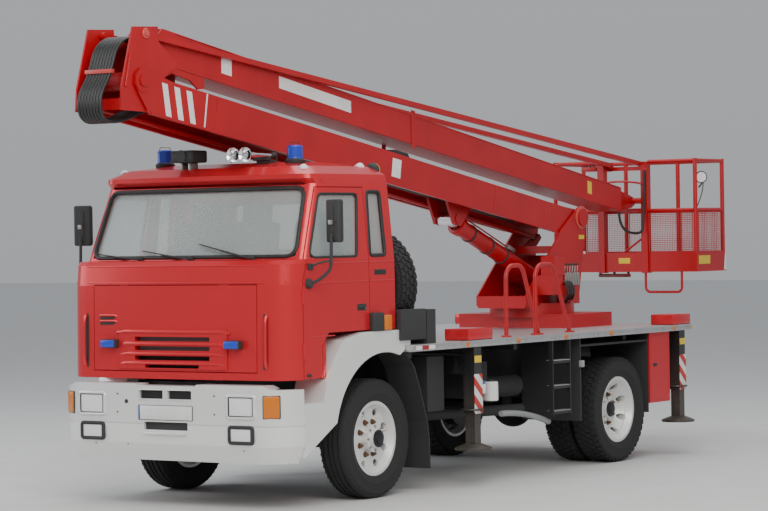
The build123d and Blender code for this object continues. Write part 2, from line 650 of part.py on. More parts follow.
def side_boxes():
    """Tool box, tank, air reservoirs and exhaust hung on the rails."""
    wall = RAIL_X + RAIL_W / 2 + SEAT
    parts = [
        span(wall, 1040, 760, 1010, 640, 1090), span(wall, 900, 1540, 1900, 700, 1000),
        span(-1040, -wall, 900, 1150, 620, 1090), span(-980, -wall, 1560, 2350, 560, 960),
        span(860, 1180, 562, 690, DECK_TOP + SEAT, 1490),
    ]
    parts.append(rod_y(760, 1980, 2560, 760, 95))
    parts.append(span(wall, 760, 2200, 2260, 700, 820))
    parts.append(bar((560, 1300, 560), (900, 2450, 560), 45))
    parts.append(span(wall, 600, 1400, 1440, 540, 800))
    return parts


def dashboard():
    """Dashboard with the instrument hood, steering column and wheel."""
    face = [(-1215, 1200), (-1215, 1500), (-1120, 1760), (-940, 1790), (-880, 1720), (-930, 1450), (-1000,
                                                                                                    1200)]
    dash = side_plate(face, -1020, 1020)
    hood = side_plate([(-950, 1785), (-860, 1840), (-830, 1800), (-850, 1700), (-900, 1700)], 230, 730)
    place = Pos(*STEERING) * Rot(-38, 0, 0)
    column = bar((STEERING[0], -1000, 1520), STEERING, 32)
    rim = place * Torus(225, 17)
    spokes = [place * Rot(0, 0, turn) * Pos(112, 0, 0) * Box(226, 40, 14)
              for turn in (90, 210, 330)]
    dash = (dash + hood) & cab_body(CAB_WALL + PANEL_GAP, CAB_WALL + PANEL_GAP)
    legs = [span(side * 880, side * 940, -1080, -1000, CAB_FLOOR + CAB_WALL + SEAT, 1210) for side in (1, -1)]
    return fuse(dash, legs, column, rim, spokes)


def seats():
    """Three seats: cushion, leaning back and headrest on a plain base."""
    parts = []
    for x, width in ((560, 480), (-90, 440), (-620, 480)):
        seat = span(x - width / 2, x + width / 2, -535, -100, ARCH_TOP + CAB_WALL + 180,
                    ARCH_TOP + CAB_WALL + 320)
        base = span(x - 180, x + 180, -500, -140, ARCH_TOP + CAB_WALL + SEAT, ARCH_TOP + CAB_WALL + 181)
        back = Pos(x, -70, ARCH_TOP + CAB_WALL + 560) * Rot(-10, 0, 0) * Box(width - 20, 110, 560)
        head = Pos(x, -14, ARCH_TOP + CAB_WALL + 900) * Rot(-10, 0, 0) * Box(250, 90, 170)
        parts.append(seat + base + back + head)
    return parts


def beacons():
    """Two flashing lamps: foot and ribbed dome."""
    parts = []
    for side in (1, -1):
        profile = [(0, 0), (78, 0), (78, 22), (66, 30), (66, 112), (52, 130), (0, 130)]
        turned = revolve(Plane.XZ * Polygon(*profile, align=None), Axis.Z)
        parts.append(Pos(side * BEACON_X, BEACON_Y, BEACON_Z) * turned)
    return parts


def siren_horns():
    """Siren box and a pair of trumpet horns on the roof."""
    siren = span(-330, -90, -860, -640, 2704, 2800)
    foot = span(-260, -160, -800, -700, 2600, 2705)
    horn_profile = [(0, 0), (62, 0), (36, 60), (20, 160), (14, 420), (0, 420)]
    horns = []
    for x in (350, 470):
        turned = revolve(Plane.XY * Polygon(*[(r, y) for r, y in horn_profile], align=None), Axis.Y)
        horns.append(Pos(x, -900, 2745) * turned)
    stand = span(330, 490, -640, -600, 2600, 2746)
    return [siren + foot - cab_body(-SEAT), fuse(horns, stand) - cab_body(-SEAT)]


def mirror_arm(side):
    """Mirror head on its bent tube arm, fixed to the door's front edge."""
    head = Pos(side * 1268, -830, 2215) * Rot(0, 0, side * -14) * Box(150, 46, 330)
    arm = bent_tube([(side * 1130, -975, 1745), (side * 1190, -960, 1745), (side * 1262, -880, 1900),
                     (side * 1262, -850, 2060)], 13, 30)
    ball = rod_x(side * 1100, side * 1160, -975, 1745, 34) - cab_body(-SEAT)
    return fuse(head, arm, ball)


def spare():
    """Spare wheel standing across the deck behind the cab."""
    tyre_ring = tyre(0, 1, 0)
    rim = rim_band()
    disc = revolve(Plane.XY * Polygon((-58, RIM_R - 30), (-58, RIM_R - 56), (-FRONT_DISH, 178),
                                      (-FRONT_DISH, 80),
                                      (-FRONT_DISH - DISC_T, 80), (-FRONT_DISH - DISC_T, 186), (-74,
                                                                                                RIM_R - 30),
                                      align=None), Axis.X)
    place = Pos(SPARE_X, SPARE_Y, SPARE_Z) * Rot(0, 0, 90)
    save("spare_tyre", place * Pos(0, 0, -TYRE_R) * tyre_ring)
    wheel = place * Pos(RIM_W / 2, 0, 0) * (rim + disc)
    post_y = SPARE_Y + TYRE_W / 2 + 30
    stand = fuse(span(SPARE_X - 60, SPARE_X + 60, post_y, post_y + 40, DECK_TOP + SEAT, SPARE_Z + 100),
                 rod_y(SPARE_X, SPARE_Y + RIM_W / 2 - FRONT_DISH - 10, post_y + 10, SPARE_Z, 95))
    save("spare_wheel", wheel + stand)


# Deck equipment

def jack_housings():
    """Four jack tubes with a beam to the rails and a valve box on the deck."""
    parts = []
    for side in (1, -1):
        for y, box_front, box_rear in ((JACK_FRONT_Y, 1127, 1490), (JACK_REAR_Y, *JACK_BOX_REAR)):
            half = JACK_TUBE / 2
            tube = span(side * (JACK_X - half), side * (JACK_X + half), y - half, y + half,
                        JACK_TUBE_BOTTOM, JACK_TOP)
            beam = span(side * (RAIL_OUTER + SEAT), side * (JACK_X - half), y - 50, y + 50, 930, 1080)
            box = span(side * 985, side * (JACK_X + half), box_front, box_rear, DECK_TOP + SEAT, JACK_TOP)
            bore = JACK_TUBE / 2 - JACK_WALL
            hollow = span(side * (JACK_X - bore), side * (JACK_X + bore), y - bore, y + bore, 500,
                          JACK_TOP - JACK_WALL)
            parts.append(tube + beam + box - hollow)
    return parts


def jack_leg(side, y):
    """Sliding leg with its round foot."""
    half = JACK_LEG / 2
    leg = span(side * (JACK_X - half), side * (JACK_X + half), y - half, y + half, JACK_FOOT_Z + 40,
               JACK_TOP - 60)
    profile = [(0, 0), (JACK_FOOT_R, 0), (JACK_FOOT_R, 12), (60, 44), (0, 44)]
    foot = revolve(Plane.XZ * Polygon(*profile, align=None), Axis.Z)
    return leg + Pos(side * JACK_X, y, JACK_FOOT_Z) * foot


def ladder():
    """Side ladder under the deck's edge."""
    parts = [span(1176, 1216, y, y + 14, 500, DECK_BOTTOM - SEAT) for y in (2470, 2766)]
    for z in (515, 735, 955):
        parts.append(span(1140, 1219, 2480, 2770, z, z + 26))
    return fuse(*parts)


def handrails():
    """Two bent hoops over the ladder on the left."""
    hoops = []
    for foot_front, crown, foot_rear in ((1870, 2020, 2410), (2350, 2530, 2940)):
        points = [(HOOP_X, foot_front, DECK_TOP - 20), (HOOP_X, foot_front + 10, HOOP_TOP),
                  (HOOP_X, crown + 120, HOOP_TOP), (HOOP_X, foot_rear, DECK_TOP - 20)]
        hoops.append(bent_tube(points, TUBE_R, 110) - span(1000, 1218, 1700, 3100, 1100, DECK_TOP + SEAT))
    return hoops


def lockers():
    """Lockers under the deck behind the rear wheels."""
    parts = []
    for side in (1, -1):
        box = span(side * 700, side * 1185, LOCKER_FRONT, REAR_END - 384, 505, DECK_BOTTOM - SEAT)
        parts.append(box)
    return parts


def rear_bar():
    """Rear lamp bar on two arms, with the lamp clusters at its ends."""
    parts = [span(-1120, 1120, REAR_END - 100, REAR_END - 30, 640, 740)]
    for side in (1, -1):
        parts.append(span(side * 340, side * 430, REAR_END - 130, REAR_END - 90, 680,
                          RAIL_TOP - RAIL_H - SEAT))
        parts.append(span(side * 760, side * 1100, REAR_END - 31, REAR_END, 645, 735))
    return fuse(*parts)


# Slewing base

def subframe():
    """Raised bed on the deck that carries the slewing ring."""
    bed = span(-620, 620, 3820, 4560, DECK_TOP + SEAT, SUBFRAME_TOP)
    bed = bed - span(-560, 560, 3870, 4510, 1200, SUBFRAME_TOP - 20)
    ring = rod_z(0, SLEW_Y, SUBFRAME_TOP - 30, RING_SPLIT, SLEW_R)
    return bed + ring - rod_z(0, SLEW_Y, 1200, 1500, SLEW_R - 120)


TURRET_SIDE = [
    (3580, 1420), (3580, 1512), (4250, 2120), (4500, 2285), (4560, 2330), (4660, 2330), (4708, 2236),
    (4660, 1990), (4560, 1520), (4560, 1420),
]


def turret():
    """Slewing base: ring, two cheek plates, front box, webs and the pins it carries."""
    parts = [rod_z(0, SLEW_Y, RING_SPLIT + SEAT, 1440, SLEW_R)]
    parts.append(span(-TURRET_IN, TURRET_IN, 3715, 4560, 1420, 1440))
    for side in (1, -1):
        parts.append(side_plate(TURRET_SIDE, side * TURRET_IN, side * (TURRET_IN + TURRET_T)))
        parts.append(rod_x(side * TURRET_IN, side * (TURRET_IN + 45), FOOT_Y, FOOT_Z, 85))
        parts.append(rod_x(side * (RAM_R + 5), side * TURRET_IN, RAM_FOOT_Y, RAM_FOOT_Z, 60))
    parts.append(span(-TURRET_IN, TURRET_IN, 3580, 3715, 1400, 1512))
    parts.append(span(-TURRET_IN, TURRET_IN, 4270, 4330, 1900, 1970))
    parts.append(span(-TURRET_IN, TURRET_IN, 4540, 4560, 1440, 1880))
    parts.append(rod_x(-TURRET_IN, TURRET_IN, FOOT_Y, FOOT_Z, PIN_R))
    parts.append(rod_x(-TURRET_IN, TURRET_IN, RAM_FOOT_Y, RAM_FOOT_Z, 35))
    pin_y, pin_z = FOOT_Y + TIE_DY, FOOT_Z + TIE_DZ
    bracket = [(4280, 1900), (4280, 1960), (pin_y - 30, pin_z + 15), (pin_y, pin_z + 30), (pin_y + 30, pin_z),
               (pin_y, pin_z - 30), (4330, 1900)]
    for x in (TIE_X - ROD_R - 13, TIE_X + ROD_R + 3):
        parts.append(side_plate(bracket, x, x + 10))
    parts.append(rod_x(TIE_X - ROD_R - 12, TIE_X + ROD_R + 12, pin_y, pin_z, TIE_PIN_R))
    return fuse(*parts)


def turret_controls():
    """Slewing motor, valve block and covered levers on the turret's left."""
    wall = TURRET_IN + TURRET_T + SEAT
    block = span(wall, 420, 3900, 4260, 1560, 1760)
    levers = span(330, 480, 3760, 3940, 1700, 1880)
    motor = rod_z(390, 4080, 1445, 1561, 70)
    post = span(wall, 470, 3740, 3960, 1520, 1700)
    return fuse(block, levers, motor, post)


# Lower boom

BOOM_L = hypot(FOOT_Y - ELBOW_Y, ELBOW_Z - FOOT_Z)
BOOM_D = ((ELBOW_Y - FOOT_Y) / BOOM_L, (ELBOW_Z - FOOT_Z) / BOOM_L)


def along_boom(reach, rise):
    """Side-view point at a distance along the lower boom's pin line and above it."""
    return (FOOT_Y + reach * BOOM_D[0] + rise * BOOM_D[1], FOOT_Z + reach * BOOM_D[1] - rise * BOOM_D[0])


def on_boom(y, z):
    """Distance along the lower boom's pin line, and rise above it, of a side-view point."""
    return (
        (y - FOOT_Y) * BOOM_D[0] + (z - FOOT_Z) * BOOM_D[1],
        (y - FOOT_Y) * BOOM_D[1] - (z - FOOT_Z) * BOOM_D[0],
    )


def boom_plate(rows, x0, x1):
    """Plate from an outline of (reach, rise) points on the lower boom."""
    return side_plate([along_boom(reach, rise) for reach, rise in rows], x0, x1)


def lower_boom():
    """Welded box with deep skirts that hide the lower tie rod, and the ram's lugs."""
    skirt = [
        (-60, 50), (-30, 72), (290, LOWER_TOP), (6209, LOWER_TOP), (6510, 90), (6600, 90), (6655,
                                                                                            30), (6655, -40),
        (6590, -110), (6450, -240), (500, -210), (60, -205), (-50, -80),
    ]
    eye_reach, eye_rise = on_boom(RAM_EYE_Y, RAM_EYE_Z)
    lug = [(eye_reach - 260, LOWER_FLOOR), (eye_reach + 240, LOWER_FLOOR), (eye_reach + 60, eye_rise - 55),
           (eye_reach - 60, eye_rise - 55)]
    parts = []
    for side in (1, -1):
        x_in, x_out = side * (LOWER_X - LOWER_T), side * LOWER_X
        parts.append(boom_plate(skirt, x_in, x_out))
        flange = [(500, -198), (500, -210), (6450, -240), (6450, -228)]
        parts.append(boom_plate(flange, side * (LOWER_X - 1), side * (LOWER_X + 20)))
        parts.append(rod_x(x_in, side * (LOWER_X + 6), ELBOW_Y, ELBOW_Z, 90))
        parts.append(boom_plate(lug, side * (RAM_R + 8), side * (RAM_R + 34)))
        parts.append(rod_x(side * (RAM_R + 10), side * (RAM_R + 42), RAM_EYE_Y, RAM_EYE_Z, 46))
    x_in = LOWER_X - LOWER_T + 1
    parts.append(boom_plate([(380, LOWER_TOP - 12), (380, LOWER_TOP), (6203, LOWER_TOP), (6203,
                                                                                          LOWER_TOP - 12)],
                            -x_in, x_in))
    floor = [(90, LOWER_FLOOR), (90, LOWER_FLOOR + 12), (6100, LOWER_FLOOR + 12), (6100, LOWER_FLOOR)]
    parts.append(boom_plate(floor, -x_in, x_in))
    parts.append(boom_plate([(6091, LOWER_FLOOR), (6091, LOWER_TOP), (6100, LOWER_TOP), (6100, LOWER_FLOOR)],
                            -x_in, x_in))
    parts.append(rod_x(-LOWER_X, LOWER_X, FOOT_Y, FOOT_Z, 72))
    body = fuse(*parts)
    body = body - rod_x(-400, 400, FOOT_Y, FOOT_Z, PIN_R + SLIDE_FIT)
    return body - rod_x(-400, 400, ELBOW_Y, ELBOW_Z, PIN_R + SLIDE_FIT)


def lower_tie_rod():
    """Rod under the lower boom that keeps the elbow level."""
    start = (TIE_X, FOOT_Y + TIE_DY, FOOT_Z + TIE_DZ)
    end = (TIE_X, ELBOW_Y + TIE_DY, ELBOW_Z + TIE_DZ)
    parts = [bar(start, end, ROD_R)]
    for x, y, z in (start, end):
        parts.append(rod_x(x - ROD_R, x + ROD_R, y, z, 36))
    body = fuse(*parts)
    for x, y, z in (start, end):
        body = body - rod_x(x - 60, x + 60, y, z, TIE_PIN_R + SLIDE_FIT)
    return body


def ram_barrel():
    """Lift ram barrel with its foot eye and gland."""
    foot = Vector(0, RAM_FOOT_Y, RAM_FOOT_Z)
    line = Vector(0, RAM_EYE_Y, RAM_EYE_Z) - foot
    length = line.length
    unit = line / length
    parts = [rod_x(-RAM_R, RAM_R, RAM_FOOT_Y, RAM_FOOT_Z, 62)]
    parts.append(bar(tuple(foot + unit * 40), tuple(foot + unit * RAM_BARREL), RAM_R))
    parts.append(bar(tuple(foot + unit * (RAM_BARREL - 60)), tuple(foot + unit * RAM_BARREL), RAM_R + 12))
    body = fuse(*parts)
    bore = bar(tuple(foot + unit * 120), tuple(foot + unit * (RAM_BARREL + 10)), RAM_ROD_R + SLIDE_FIT)
    return body - bore - rod_x(-100, 100, RAM_FOOT_Y, RAM_FOOT_Z, 35 + SLIDE_FIT)


def ram_rod():
    """Ram rod with its head between the boom's lugs."""
    foot = Vector(0, RAM_FOOT_Y, RAM_FOOT_Z)
    eye = Vector(0, RAM_EYE_Y, RAM_EYE_Z)
    unit = (eye - foot) / (eye - foot).length
    rod = bar(tuple(foot + unit * 140), tuple(eye), RAM_ROD_R)
    head = rod_x(-RAM_R, RAM_R, RAM_EYE_Y, RAM_EYE_Z, 60)
    return rod + head


# Elbow and upper boom

ELBOW_SIDE = [
    (-2105, 3070), (-2090, 3250), (-1950, 3705), (-1650, 3720), (-1640, 3600), (-1440, 3460), (-1450, 3420),
    (-1580, 3330), (-1600, 3060),
]


def elbow_frame():
    """Frame kept level between the booms: two plates, web and the pins of both booms."""
    parts = []
    for side in (1, -1):
        parts.append(side_plate(ELBOW_SIDE, side * ELBOW_IN, side * (ELBOW_IN + PLATE_T)))
        parts.append(rod_x(side * (UPPER_X + 6), side * (ELBOW_IN + 1), ELBOW_Y + ROD_DY, ELBOW_Z + ROD_DZ,
                           TIE_PIN_R))
    parts.append(span(-ELBOW_IN - 1, ELBOW_IN + 1, -2098, -2083, 3075, 3160))
    parts.append(rod_x(-LOWER_X - 17, LOWER_X + 17, ELBOW_Y, ELBOW_Z, PIN_R))
    parts.append(rod_x(-ELBOW_IN - 1, TIE_X + 30, ELBOW_Y + TIE_DY, ELBOW_Z + TIE_DZ, TIE_PIN_R))
    return fuse(*parts)


def upper_boom():
    """Tapered hollow box with root lugs on the elbow pin and a slender tip."""
    outline = [UPPER_ROOT[0], (5600, 2531), (5600, 2295), UPPER_ROOT[1]]
    outer = side_plate(outline, -UPPER_X, UPPER_X)
    core = offset(Polygon(*outline, align=None), amount=-UPPER_T, kind=Kind.INTERSECTION)
    box = outer - extrude(Plane.YZ.offset(-UPPER_X + UPPER_T) * core, 2 * (UPPER_X - UPPER_T), dir=(1, 0, 0))
    root = [(-1930, 3250), (-1935, 3330), (-1510, 3716), (-1300, 3660), (-1000, 3360), (-1000, 3270),
            (-1080, 3262),
            (-1180, 3330), (-1400, 3375), (-1790, 3240), (-1850, 3222)]
    parts = [box]
    for side in (1, -1):
        parts.append(side_plate(root, side * (UPPER_X - 16), side * UPPER_X))
    tip = [(5600, 2520), (5880, 2452), (5975, 2425), (5985, 2400), (5965, 2360), (5900, 2330), (5600, 2302)]
    parts.append(side_plate(tip, -TIP_X, TIP_X))
    parts.append(rod_x(-UPPER_X, UPPER_X, ELBOW_Y, ELBOW_Z, 72))
    body = fuse(*parts)
    body = body - rod_x(-400, 400, ELBOW_Y, ELBOW_Z, PIN_R + SLIDE_FIT)
    return body - rod_x(-400, 400, TIP_Y, TIP_Z, TIP_PIN_R + SLIDE_FIT)


def upper_tie_rods():
    """Pair of square tubes that keep the basket level."""
    parts = []
    for side in (1, -1):
        start = (ELBOW_Y + ROD_DY, ELBOW_Z + ROD_DZ)
        end = (TIP_Y + ROD_DY, TIP_Z + ROD_DZ)
        run = hypot(end[0] - start[0], end[1] - start[1])
        slope = degrees(atan2(end[1] - start[1], end[0] - start[0]))
        middle = ((start[0] + end[0]) / 2, (start[1] + end[1]) / 2)
        tube = Pos(side * ROD_X, *middle) * Rot(slope, 0, 0) * Box(2 * ROD_R, run, 2 * ROD_R)
        for y, z in (start, end):
            tube = tube + rod_x(side * (ROD_X - ROD_R), side * (ROD_X + ROD_R), y, z, 31)
        for y, z in (start, end):
            tube = tube - rod_x(side * 120, side * 240, y, z, TIE_PIN_R + SLIDE_FIT)
        parts.append(tube)
    return parts


# Basket

def basket():
    """Work basket: floor tray, kick boards, posts and rails, and the two masts on the boom's tip."""
    x, front, rear = BASKET_X, BASKET_FRONT, BASKET_REAR
    tray = span(-x, x, front, rear, 1690, BASKET_TOE) - span(-x + 4, x - 4, front + 4, rear - 4,
                                                             BASKET_FLOOR, 2000)
    tray = tray - span(-x + 60, x - 60, front + 60, rear - 60, 1600, BASKET_FLOOR - 5)
    parts = [tray]
    r, inset = TUBE_R, POST_R + 2
    for side in (1, -1):
        for y in (front + inset, rear - inset):
            parts.append(rod_z(side * (x - inset), y, BASKET_TOE - 40, BASKET_TOP + 2, POST_R))
        parts.append(rod_z(side * 300, rear - inset, BASKET_TOE - 40, BASKET_TOP + 2, POST_R))
        for z in (BASKET_MID, BASKET_TOP - r):
            parts.append(rod_y(side * (x - inset), front + inset, rear - inset, z, r))
            parts.append(rod_x(side * (MAST_X + 30), side * (x - inset), front + inset, z, r))
        mast = span(side * (MAST_X - MAST_W / 2), side * (MAST_X + MAST_W / 2), MAST_FRONT, MAST_FRONT + 80,
                    1680, 2775)
        parts.append(mast)
        ear = [(MAST_FRONT + 40, 2700), (MAST_FRONT + 40, 2790), (6062, 2790), (6062, 2700)]
        parts.append(side_plate(ear, side * (MAST_X - 35), side * (MAST_X - 20)))
        parts.append(rod_x(side * (ROD_X - ROD_R - 3), side * (MAST_X - 20), TIP_Y + ROD_DY, TIP_Z + ROD_DZ,
                           TIE_PIN_R))
        parts.append(span(side * (MAST_X - 35), side * (MAST_X - 20), MAST_FRONT + 40, 6062, 2270, 2330))
    for z in (BASKET_MID, BASKET_TOP - r):
        parts.append(rod_x(-x + inset, x - inset, rear - inset, z, r))
    for z in (2285, 2705):
        parts.append(span(-MAST_X + 30, MAST_X - 30, 6030, 6062, z, z + 40))
    parts.append(rod_x(-MAST_X, MAST_X, TIP_Y, TIP_Z, TIP_PIN_R))
    step = bent_tube([(235, 5930, 1692), (235, 5930, 1490), (640, 5930, 1490), (640, 5930, 1692)], 13, 50)
    parts.append(step)
    return fuse(*parts)


def basket_panels():
    """Perforated sheets between the kick board and the middle rail."""
    low, high = BASKET_TOE + SEAT, BASKET_MID - TUBE_R - SEAT
    x, front, rear, t = BASKET_X - 2, BASKET_FRONT + 2, BASKET_REAR - 2, 3
    post = 2 * POST_R + 3
    parts = []
    for side in (1, -1):
        parts.append(span(side * (x - t), side * x, front + post, rear - post, low, high))
        parts.append(span(side * (MAST_X + 40), side * (x - post), front, front + t, low, high))
    parts.append(span(-x + post, -300 - 23, rear - t, rear, low, high))
    parts.append(span(-300 + 23, 300 - 23, rear - t, rear, low, high))
    parts.append(span(300 + 23, x - post, rear - t, rear, low, high))
    return parts


def elbow_hoses():
    """Row of hoses that bow in front of the elbow from the upper boom to the lower one."""
    (top_y, top_z), (low_y, low_z) = UPPER_ROOT
    root = side_plate([(top_y - SEAT, top_z), (low_y - SEAT, low_z), (-1200, low_z), (-1200, top_z)], -200,
                      200)
    return [bent_tube([(x, y, z) for y, z in HOSE_ROUTE], HOSE_R, HOSE_BEND) - root for x in HOSE_ROW]


def basket_hose():
    """Control hose in a U below the boom's tip and up the left mast."""
    points = [(150, 5560, 2290), (150, 5570, 2110), (235, 5830, 2060), (262, 5860, 2160), (262, 5876.7, 2700)]
    return bent_tube(points, 13, 45)


os.makedirs("parts", exist_ok=True)
front_wheels()
rear_wheels()
save("front_axle", front_axle())
save("knuckle_left", knuckle(1))
save("knuckle_right", knuckle(-1))
save("rear_axle", rear_axle())
save("chassis_frame", chassis_frame())
save("engine_block", engine())
save("deck", deck())
save("bumper", bumper())
save("front_lamps", front_lamps())
save("front_fenders", front_fenders())
save("mudguards", mudguards())
save("side_boxes", side_boxes())
save("dashboard", dashboard())
save("seats", seats())
save("beacons", beacons())
save("siren_horns", siren_horns())
save("mirror_left", mirror_arm(1))
save("mirror_right", mirror_arm(-1))
spare()
cab()
save("jack_housings", jack_housings())
for side, word in ((1, "left"), (-1, "right")):
    save(f"jack_leg_front_{word}", jack_leg(side, JACK_FRONT_Y))
    save(f"jack_leg_rear_{word}", jack_leg(side, JACK_REAR_Y))
save("ladder", ladder())
save("handrails", handrails())
save("lockers", lockers())
save("rear_bar", rear_bar())
save("subframe", subframe())
save("turret", turret())
save("turret_controls", turret_controls())
save("lower_boom", lower_boom())
save("lower_tie_rod", lower_tie_rod())
save("lift_barrel", ram_barrel())
save("lift_rod", ram_rod())
save("elbow_frame", elbow_frame())
save("upper_boom", upper_boom())
save("upper_tie_rods", upper_tie_rods())
save("basket", basket())
save("basket_panels", basket_panels())
save("elbow_hoses", elbow_hoses())
save("basket_hose", basket_hose())
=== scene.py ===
import json

from math import asin, cos, pi, radians, sin, sqrt, tan

import bmesh
import bpy
from bpy.props import FloatProperty, FloatVectorProperty, PointerProperty
from bpy.types import Operator, Panel, PropertyGroup
from mathutils import Matrix, Vector


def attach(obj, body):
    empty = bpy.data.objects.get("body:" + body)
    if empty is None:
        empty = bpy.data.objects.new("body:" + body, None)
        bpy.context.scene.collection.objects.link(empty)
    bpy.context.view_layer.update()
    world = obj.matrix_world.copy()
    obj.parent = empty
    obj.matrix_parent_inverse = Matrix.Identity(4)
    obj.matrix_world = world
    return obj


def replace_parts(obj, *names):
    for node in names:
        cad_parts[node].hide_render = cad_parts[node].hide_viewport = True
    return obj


bl_info = {
    "name": "Cherry picker truck",
    "version": (1, 0, 0),
    "blender": (4, 5, 0),
    "location": "3D View > Sidebar > Truck",
    "description": "Dresses the boom truck: finishes, tyres, cab fittings, hoses, boom and basket details",
    "category": "Object",
}

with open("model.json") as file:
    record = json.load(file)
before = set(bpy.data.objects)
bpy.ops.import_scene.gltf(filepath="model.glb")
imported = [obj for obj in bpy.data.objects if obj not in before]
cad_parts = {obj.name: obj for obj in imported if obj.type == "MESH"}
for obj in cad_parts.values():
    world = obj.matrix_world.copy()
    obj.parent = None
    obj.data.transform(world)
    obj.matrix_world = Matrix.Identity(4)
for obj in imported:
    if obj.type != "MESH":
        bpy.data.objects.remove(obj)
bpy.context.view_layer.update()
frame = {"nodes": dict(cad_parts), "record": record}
SIDES = ((1, "left"), (-1, "right"))

# Places are given in millimetres from the front axle, as on the truck's drawing: x to the
# vehicle's left, y to its rear, z up. The part's own origin lies this far behind the axle.
ORIGIN_Y = 2212.0


def at(x, y, z):
    """A place on the drawing, in the part's metres."""
    return Vector((x / 1000, (y - ORIGIN_Y) / 1000, z / 1000))


# Node tools

PLAIN_GREY = (0.5, 0.5, 0.5, 1)


class Board:
    """Places nodes in a tree and wires them together."""

    def __init__(self, tree):
        self.tree = tree

    def link(self, socket, node, label):
        self.tree.links.new(socket, node.inputs[label])

    def add(self, kind, inputs=(), **settings):
        made = self.tree.nodes.new("ShaderNode" + kind)
        for key, value in settings.items():
            setattr(made, key, value)
        for key, value in dict(inputs).items():
            if isinstance(value, bpy.types.NodeSocket):
                self.link(value, made, key)
            elif value is not None:
                made.inputs[key].default_value = value
        return made

    def place(self):
        return self.add("TexCoord").outputs["Object"]

    def maths(self, operation, a, b=None, clamp=False):
        return self.add("Math", {0: a, 1: b}, operation=operation, use_clamp=clamp).outputs[0]

    def chain(self, operation, values):
        result = values[0]
        for value in values[1:]:
            result = self.maths(operation, result, value)
        return result

    def total(self, *values):
        return self.chain("ADD", values)

    def times(self, *values):
        return self.chain("MULTIPLY", values)

    def ramp(self, value, low, high, to_low=0.0, to_high=1.0):
        node = self.add("MapRange", {"Value": value, "From Min": low, "From Max": high, "To Min": to_low,
                                     "To Max": to_high})
        return node.outputs[0]

    def mix(self, factor, a, b):
        return self.add("Mix", {0: factor, 6: a, 7: b}, data_type="RGBA").outputs[2]

    def noise(self, place, size, detail=2.0, rough=0.5):
        return self.add("TexNoise", {"Vector": place, "Scale": 1 / size, "Detail": detail,
                                     "Roughness": rough}).outputs[0]

    def stretched(self, place, x, y, z):
        return self.add("VectorMath", {0: place, 1: (x, y, z)}, operation="MULTIPLY").outputs[0]

    def split(self, place):
        return self.add("SeparateXYZ", {0: place}).outputs

    def shaded(self, colour, level):
        return self.add("VectorMath", {0: colour, "Scale": level}, operation="SCALE").outputs[0]

    def bump(self, height, strength, depth):
        return self.add("Bump", {"Height": height, "Strength": strength, "Distance": depth}).outputs[0]


def effect(name, inputs, outputs, build):
    """Shader node group, built once: inputs are colours or numbers by name, outputs are names."""
    if name in bpy.data.node_groups:
        return bpy.data.node_groups[name]
    tree = bpy.data.node_groups.new(name, "ShaderNodeTree")

    def new_socket(label, colour, way):
        kind = "NodeSocketColor" if colour else "NodeSocketFloat"
        return tree.interface.new_socket(name=label, in_out=way, socket_type=kind)

    for label, default in inputs.items():
        new_socket(label, isinstance(default, tuple), "INPUT").default_value = default
    for label in outputs:
        new_socket(label, label == "Colour", "OUTPUT")
    source = tree.nodes.new("NodeGroupInput")
    target = tree.nodes.new("NodeGroupOutput")
    b = Board(tree)
    for label, socket in build(b, source.outputs).items():
        b.link(socket, target, label)
    return tree


def weathering():
    """Road dirt, dust on top, rain marks, faded patches and small chips."""
    def build(b, given):
        place = b.place()
        up = b.split(b.add("NewGeometry").outputs["Normal"])[2]
        broad = b.noise(place, 0.42, 3)
        fine = b.noise(place, 0.018, 3, 0.6)
        rain = b.noise(b.stretched(place, 24, 24, 1.7), 1.0, 3)
        height = b.split(place)[2]
        below = b.ramp(b.maths("SUBTRACT", given["Dirt height"], height), 0.0, 0.55)
        road = b.times(below, b.ramp(fine, 0.3, 0.7, 0.35, 1.0), b.ramp(broad, 0.3, 0.7, 0.5, 1.0))
        dust = b.times(b.ramp(up, 0.5, 1.0), b.ramp(broad, 0.35, 0.7), b.ramp(fine, 0.3, 0.65, 0.3, 0.8))
        runs = b.times(b.ramp(rain, 0.52, 0.78), b.ramp(up, -0.3, 0.3, 0.45, 0.1))
        dirt = b.maths("MULTIPLY", b.total(road, dust, runs), given["Dirt amount"], clamp=True)
        chips = b.times(b.ramp(b.noise(place, 0.05, 7, 0.7), 0.68, 0.70), given["Chips"])
        faded = b.shaded(given["Paint"], b.ramp(broad, 0.25, 0.75, 0.86, 1.1))
        worn = b.mix(chips, faded, given["Primer"])
        return {
            "Colour": b.mix(dirt, worn, given["Dirt"]),
            "Roughness": b.total(
                given["Gloss level"], b.times(dirt, 0.4), b.ramp(fine, 0.3, 0.7, -0.03, 0.05)),
            "Height": b.total(b.times(fine, 0.3), b.times(dirt, 0.5), b.times(chips, -0.6)),
            "Dirt mask": dirt}
    return effect("Weathering", {
        "Paint": PLAIN_GREY, "Dirt": (0.16, 0.13, 0.10, 1), "Primer": (0.12, 0.06, 0.05, 1),
        "Dirt height": 0.9, "Dirt amount": 0.4, "Chips": 0.3, "Gloss level": 0.3,
    }, ("Colour", "Roughness", "Height", "Dirt mask"), build)


